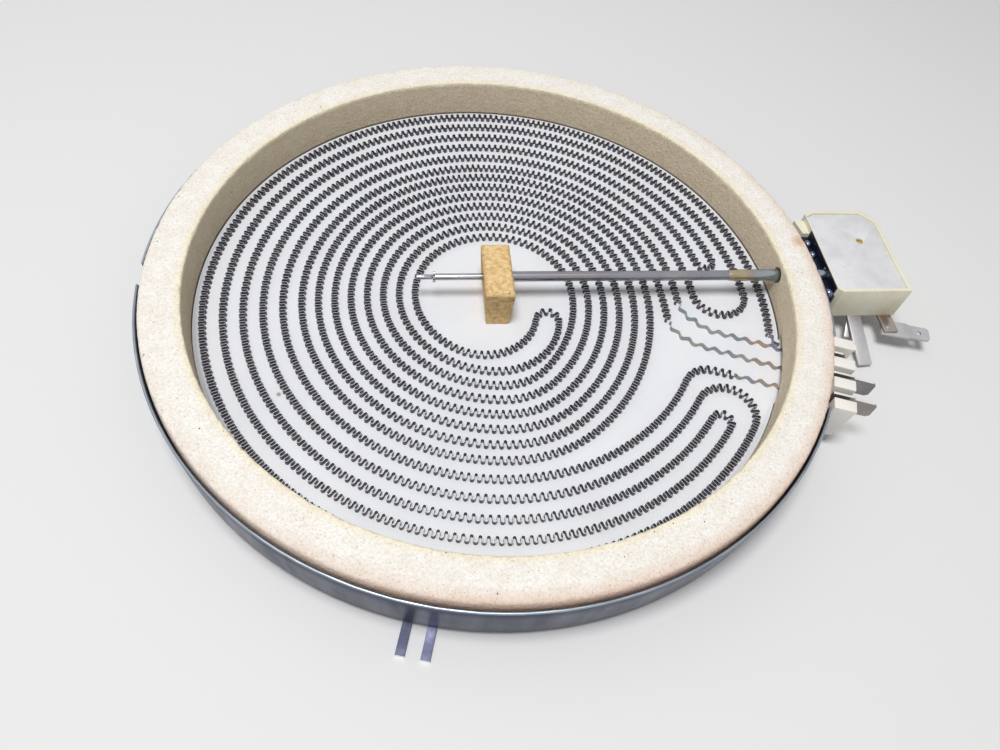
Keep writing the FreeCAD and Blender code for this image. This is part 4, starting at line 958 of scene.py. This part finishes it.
tailEnds = [blockPoint(93.1, across, 0) for across in (6.62, -1.1, -8.82)]
leadRoutes = {
    "lead_ribbon_1": ([(60.4, -3.6), (61.0, -9.0), (67.6, -16.0), tailEnds[0][:2]], 0.0, "lead_1"),
    "lead_ribbon_2": ([(55.3, -12.8), (56.6, -16.2), (61.2, -21.2), tailEnds[1][:2]], 1.3,
                      "lead_2"),
    "lead_ribbon_3": ([(71.5, -33.7), (74.0, -34.5), tailEnds[2][:2]], 2.1, "lead_3"),
    "lead_ribbon_4": ([(87.4, -18.6), (88.5, -20.8), (89.6, -22.6)], 0.4, "lead_4"),
}
for name, (corners, phase, node) in leadRoutes.items():
    addPiece(name, makeLead(name, corners, phase), looks["lead"], [node])
print("leads made")


# Limiter: tube, sleeve, rod and its stop collar

def barPiece(name, profile, material, node, steps=48):
    mesh = latheMesh(name, profile, steps, shift=(0, 0, limiterForm["height"]), axis="X",
                     closed=True)
    return addPiece(name, finishMesh(fixNormals(mesh), 40), material, [node])


barPiece("limiter_tube_round", [(1.2, -3.9), (1.6, -3.9)]
         + [(1.6, -3.9 + 4 * k) for k in range(1, 29)] + [(1.6, 112.3), (1.2, 112.3)],
         looks["tube"], "limiter_tube")
barPiece("sleeve_round", [(1.62, 75.7), (1.66, 75.7), (1.74, 76.1), (1.87, 78.6), (1.87, 90.0),
                          (1.87, 100.0), (1.87, 112.3), (1.62, 112.3)],
         looks["sleeve"], "limiter_sleeve")
barPiece("rod_round", [(0.0, -25.3), (0.45, -25.25), (0.72, -25.0), (0.80, -24.6), (0.80, -20.3),
                       (0.62, -20.0), (0.62, -19.7), (1.0, -19.5), (1.05, -19.1)]
         + [(1.05, -14 + 10 * k) for k in range(13)] + [(1.05, 116.8), (0.0, 116.8)],
         looks["rod"], "limiter_rod")


def makeCollar():
    # washer with two small ears that grip the rod
    work = bmesh.new()
    outline = []
    for k in range(48):
        angle = 2 * math.pi * k / 48
        ear = max(0.0, abs(math.sin(angle)) - 0.88) / 0.12
        radius = 1.45 + 0.75 * ear
        outline.append((radius * math.cos(angle), radius * math.sin(angle)))
    height = limiterForm["height"]
    front = [work.verts.new((-19.9 * mm, y * mm, (z + height) * mm)) for y, z in outline]
    work.faces.new(front)
    shape = bmesh.ops.extrude_face_region(work, geom=list(work.faces))
    moved = [v for v in shape["geom"] if isinstance(v, bmesh.types.BMVert)]
    bmesh.ops.translate(work, verts=moved, vec=(0.75 * mm, 0, 0))
    bmesh.ops.recalc_face_normals(work, faces=work.faces)
    return finishMesh(meshFromWork(work, "collar"), 30)


addPiece("rod_clip", makeCollar(), looks["rod"], ["rod_collar"])
print("limiter tube made")


# Centre block, with crumbling edges

blockForm = {"roughness": 0.10, "chips": 0.30, "grid": 0.32}


def makeBlock():
    body = newObject("blockWork", meshFromWork(cleanCopy("centre_block"), "block"))
    grid = body.modifiers.new("grid", "REMESH")
    grid.mode = "VOXEL"
    grid.voxel_size = blockForm["grid"] * mm
    relax = body.modifiers.new("relax", "SMOOTH")
    relax.factor = 0.5
    relax.iterations = 2
    result = bakeObject(body)
    result.update()
    normals = [v.normal.copy() for v in result.vertices]
    for vertex, normal in zip(result.vertices, normals):
        spot = vertex.co / mm
        bite = noise.noise(spot * 0.8) * blockForm["roughness"]
        bite -= max(0.0, noise.noise(spot * 0.5 + Vector((4, 2, 9))) - 0.15) * blockForm["chips"]
        vertex.co += normal * (min(bite, 0.0) * mm)
    return finishMesh(result, 70)


addPiece("tube_block", makeBlock(), looks["block"], ["centre_block"])
print("centre block made")


# Sheet-metal and ceramic pieces that keep their CAD shape, with soft edges

softPieces = [
    ("pan", "pan_shell", "pan", "pan_steel", 0.28),
    ("front_fork", "fork_front", "fork", "pan_steel", 0.10),
    ("rear_fork", "fork_rear", "fork", "pan_steel", 0.10),
    ("limiter_housing", "switch_housing", "steatite", "steatite", 0.22),
    ("limiter_cover", "switch_cover", "cover", "cover_plate", 0.10),
    ("adjusting_screw", "brass_screw", "brass", "brass", 0.06),
    ("limiter_bracket", "switch_bracket", "bracket", "bracket_steel", 0.10),
    ("large_tab_strap", "strap_large", "strap", "tab_steel", 0.08),
    ("small_tab", "tab_small", "tab", "tab_steel", 0.10),
    ("side_tab", "tab_side", "tab", "tab_steel", 0.08),
    ("terminal_block", "terminal_comb", "fins", "steatite", 0.22),
    ("terminal_tab_1", "tail_1", "terminal", "tab_steel", 0.08),
    ("terminal_tab_2", "tail_2", "terminal", "tab_steel", 0.08),
    ("terminal_tab_3", "tail_3", "terminal", "tab_steel", 0.08),
]
for node, name, look, slotName, width in softPieces:
    addPiece(name, softCopy(node, width), looks[look], [node])
# the head's foot stops short of the ring
headFoot = {"before": 105.2, "shift": 2.4}
for vertex in bpy.data.objects["switch_housing"].data.vertices:
    if vertex.co.x < headFoot["before"] * mm:
        vertex.co.x += headFoot["shift"] * mm
for node in ("limit_switch_spring", "warning_switch_spring"):
    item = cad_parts[node]
    item.data.materials.clear()
    item.data.materials.append(looks["spring"])


# each strip's start, end and lower edge
uprightForm = {"face": 109.3, "thickness": 0.3, "high": 18.85,
               "strips": ((-8.5, -2.0, 15.2), (-2.05, 2.05, 17.8), (2.0, 17.2, 15.2))}


def makeUprights():
    # dark upright strips on the head's inner side; the middle strip passes over the sleeve
    f = uprightForm
    work = bmesh.new()
    for start, end, low in f["strips"]:
        box = bmesh.ops.create_cube(work, size=1.0)
        for vertex in box["verts"]:
            vertex.co = Vector((f["face"] - f["thickness"] * (0.5 - vertex.co.x),
                                start + (end - start) * (vertex.co.y + 0.5),
                                low + (f["high"] - low) * (vertex.co.z + 0.5))) * mm
    bmesh.ops.bevel(work, geom=work.edges[:], offset=0.06 * mm, segments=2, profile=0.5,
                    affect="EDGES")
    return finishMesh(meshFromWork(work, "uprights"), 40)


addPiece("dark_uprights", makeUprights(), looks["bracket"])


largeTabForm = {"root": (128.985, -13.98), "turn": -15.0, "length": 16.3, "shoulder": 9.2,
                "wide": 3.15, "narrow": 2.65, "corner": 1.1, "hole": 12.8, "holeRadius": 0.8,
                "low": 5.1, "high": 5.9}


def makeLargeTab():
    # wide at the head, a small shoulder, then the push-on end with rounded corners
    f = largeTabForm
    length, corner = f["length"], f["corner"]
    outline = [(0.0, -f["wide"]), (f["shoulder"], -f["wide"]),
               (f["shoulder"] + 0.35, -f["narrow"])]
    for k in range(7):
        angle = math.radians(-90 + 15 * k)
        outline.append((length - corner + corner * math.cos(angle),
                        -f["narrow"] + corner + corner * math.sin(angle)))
    outline += [(u, -w) for u, w in reversed(outline)]
    ring = [(f["hole"] + f["holeRadius"] * math.cos(2 * math.pi * k / 32),
             f["holeRadius"] * math.sin(2 * math.pi * k / 32)) for k in range(32)]
    work = bmesh.new()
    cosine, sine = math.cos(math.radians(f["turn"])), math.sin(math.radians(f["turn"]))
    edges = []
    for loop in (outline, ring):
        corners = [work.verts.new(((f["root"][0] + u * cosine - w * sine) * mm,
                                   (f["root"][1] + u * sine + w * cosine) * mm, f["low"] * mm))
                   for u, w in loop]
        edges += [work.edges.new((corners[k - 1], corners[k])) for k in range(len(corners))]
    bmesh.ops.triangle_fill(work, use_beauty=True, edges=edges)
    shape = bmesh.ops.extrude_face_region(work, geom=work.faces[:])
    moved = [v for v in shape["geom"] if isinstance(v, bmesh.types.BMVert)]
    bmesh.ops.translate(work, verts=moved, vec=(0, 0, (f["high"] - f["low"]) * mm))
    bmesh.ops.recalc_face_normals(work, faces=work.faces)
    roundEdges(work, 0.08, 60)
    return finishMesh(meshFromWork(work, "largeTab"), 40)


addPiece("tab_large", makeLargeTab(), looks["tab"], ["large_tab"])


rivetForm = {"radius": 1.5, "crown": 0.95, "shift": 0.2, "rows": (-8.0, 8.6, 13.7)}


def makeRivets():
    f = rivetForm
    low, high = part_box("bracket_rivets")
    low, high = Vector(low) / mm, Vector(high) / mm
    work = bmesh.new()
    middle = (low.x + high.x) / 2 + f["shift"]
    for y in f["rows"]:
        half = bmesh.ops.create_uvsphere(work, u_segments=32, v_segments=20,
                                         radius=f["radius"] * mm)
        for vertex in half["verts"]:
            vertex.co.z = max(vertex.co.z, 0.0) * f["crown"]
        bmesh.ops.translate(work, verts=half["verts"],
                            vec=(middle * mm, y * mm, (low.z + 0.001) * mm))
    return finishMesh(meshFromWork(work, "rivets"), 60)


addPiece("rivet_domes", makeRivets(), looks["rivet"], ["bracket_rivets"])
print("sheet and ceramic pieces made")


# Floor, light and camera

stageForm = {"floorHeight": -0.001, "floorSize": 6.0, "ambient": 0.28, "seen": 0.95}
lamps = {"keyLamp": {"place": (-0.10, -0.145, 0.84), "power": 5.3, "size": 0.30},
         "fillLamp": {"place": (-0.45, 0.30, 0.60), "power": 0.45, "size": 0.7}}


def makeStage():
    size = stageForm["floorSize"]
    mesh = bpy.data.meshes.new("floor")
    mesh.from_pydata([(-size, -size, 0), (size, -size, 0), (size, size, 0), (-size, size, 0)],
                     [], [(0, 1, 2, 3)])
    floor = newObject("floor", mesh)
    floor.location.z = stageForm["floorHeight"]
    material, _, shader, _ = startMaterial("floorPaint", roughness=0.8)
    shader.inputs["Base Color"].default_value = rgba(0.80, 0.80, 0.80)
    mesh.materials.append(material)
    world = bpy.data.worlds.new("studio")
    world.use_nodes = True
    tree = world.node_tree
    back = tree.nodes["Background"]
    path = tree.nodes.new("ShaderNodeLightPath")
    seen = arithmetic(tree, "MAXIMUM", path.outputs["Is Camera Ray"],
                      arithmetic(tree, "MAXIMUM", path.outputs["Is Glossy Ray"],
                                 path.outputs["Is Transmission Ray"]))
    strength = ramp(tree, seen, stageForm["ambient"], stageForm["seen"])
    tree.links.new(strength, back.inputs["Strength"])
    back.inputs["Color"].default_value = rgba(1.0, 1.0, 1.0)
    bpy.context.scene.world = world


def addLamp(name, place, power, size):
    data = bpy.data.lights.new(name, "AREA")
    data.energy = power
    data.shape = "DISK"
    data.size = size
    lamp = newObject(name, data)
    lamp.location = place
    lamp.rotation_mode = "QUATERNION"
    lamp.rotation_quaternion = (-Vector(place)).to_track_quat("-Z", "Y")


cameraForm = {"place": (-0.02844, -0.15648, 0.19026), "forward": (0.1231, 0.5598, -0.8194),
              "roll": 8.954, "lens": 26.95}


def makeCamera():
    f = cameraForm
    forward = Vector(f["forward"]).normalized()
    right = forward.cross(Vector((0, 0, 1))).normalized()
    up = right.cross(forward)
    turn = math.radians(f["roll"])
    newRight = right * math.cos(turn) + up * math.sin(turn)
    newUp = up * math.cos(turn) - right * math.sin(turn)
    matrix = Matrix((newRight, newUp, -forward)).transposed().to_4x4()
    matrix.translation = Vector(f["place"])
    data = bpy.data.cameras.new("camera")
    data.sensor_width = 36.0
    data.lens = f["lens"]
    data.clip_start = 0.01
    data.clip_end = 50.0
    camera = newObject("camera", data)
    camera.matrix_world = matrix
    bpy.context.scene.camera = camera


makeStage()
for name, lampForm in lamps.items():
    addLamp(name, **lampForm)
makeCamera()
bpy.context.scene.view_settings.view_transform = "Standard"
print("stage and camera made")
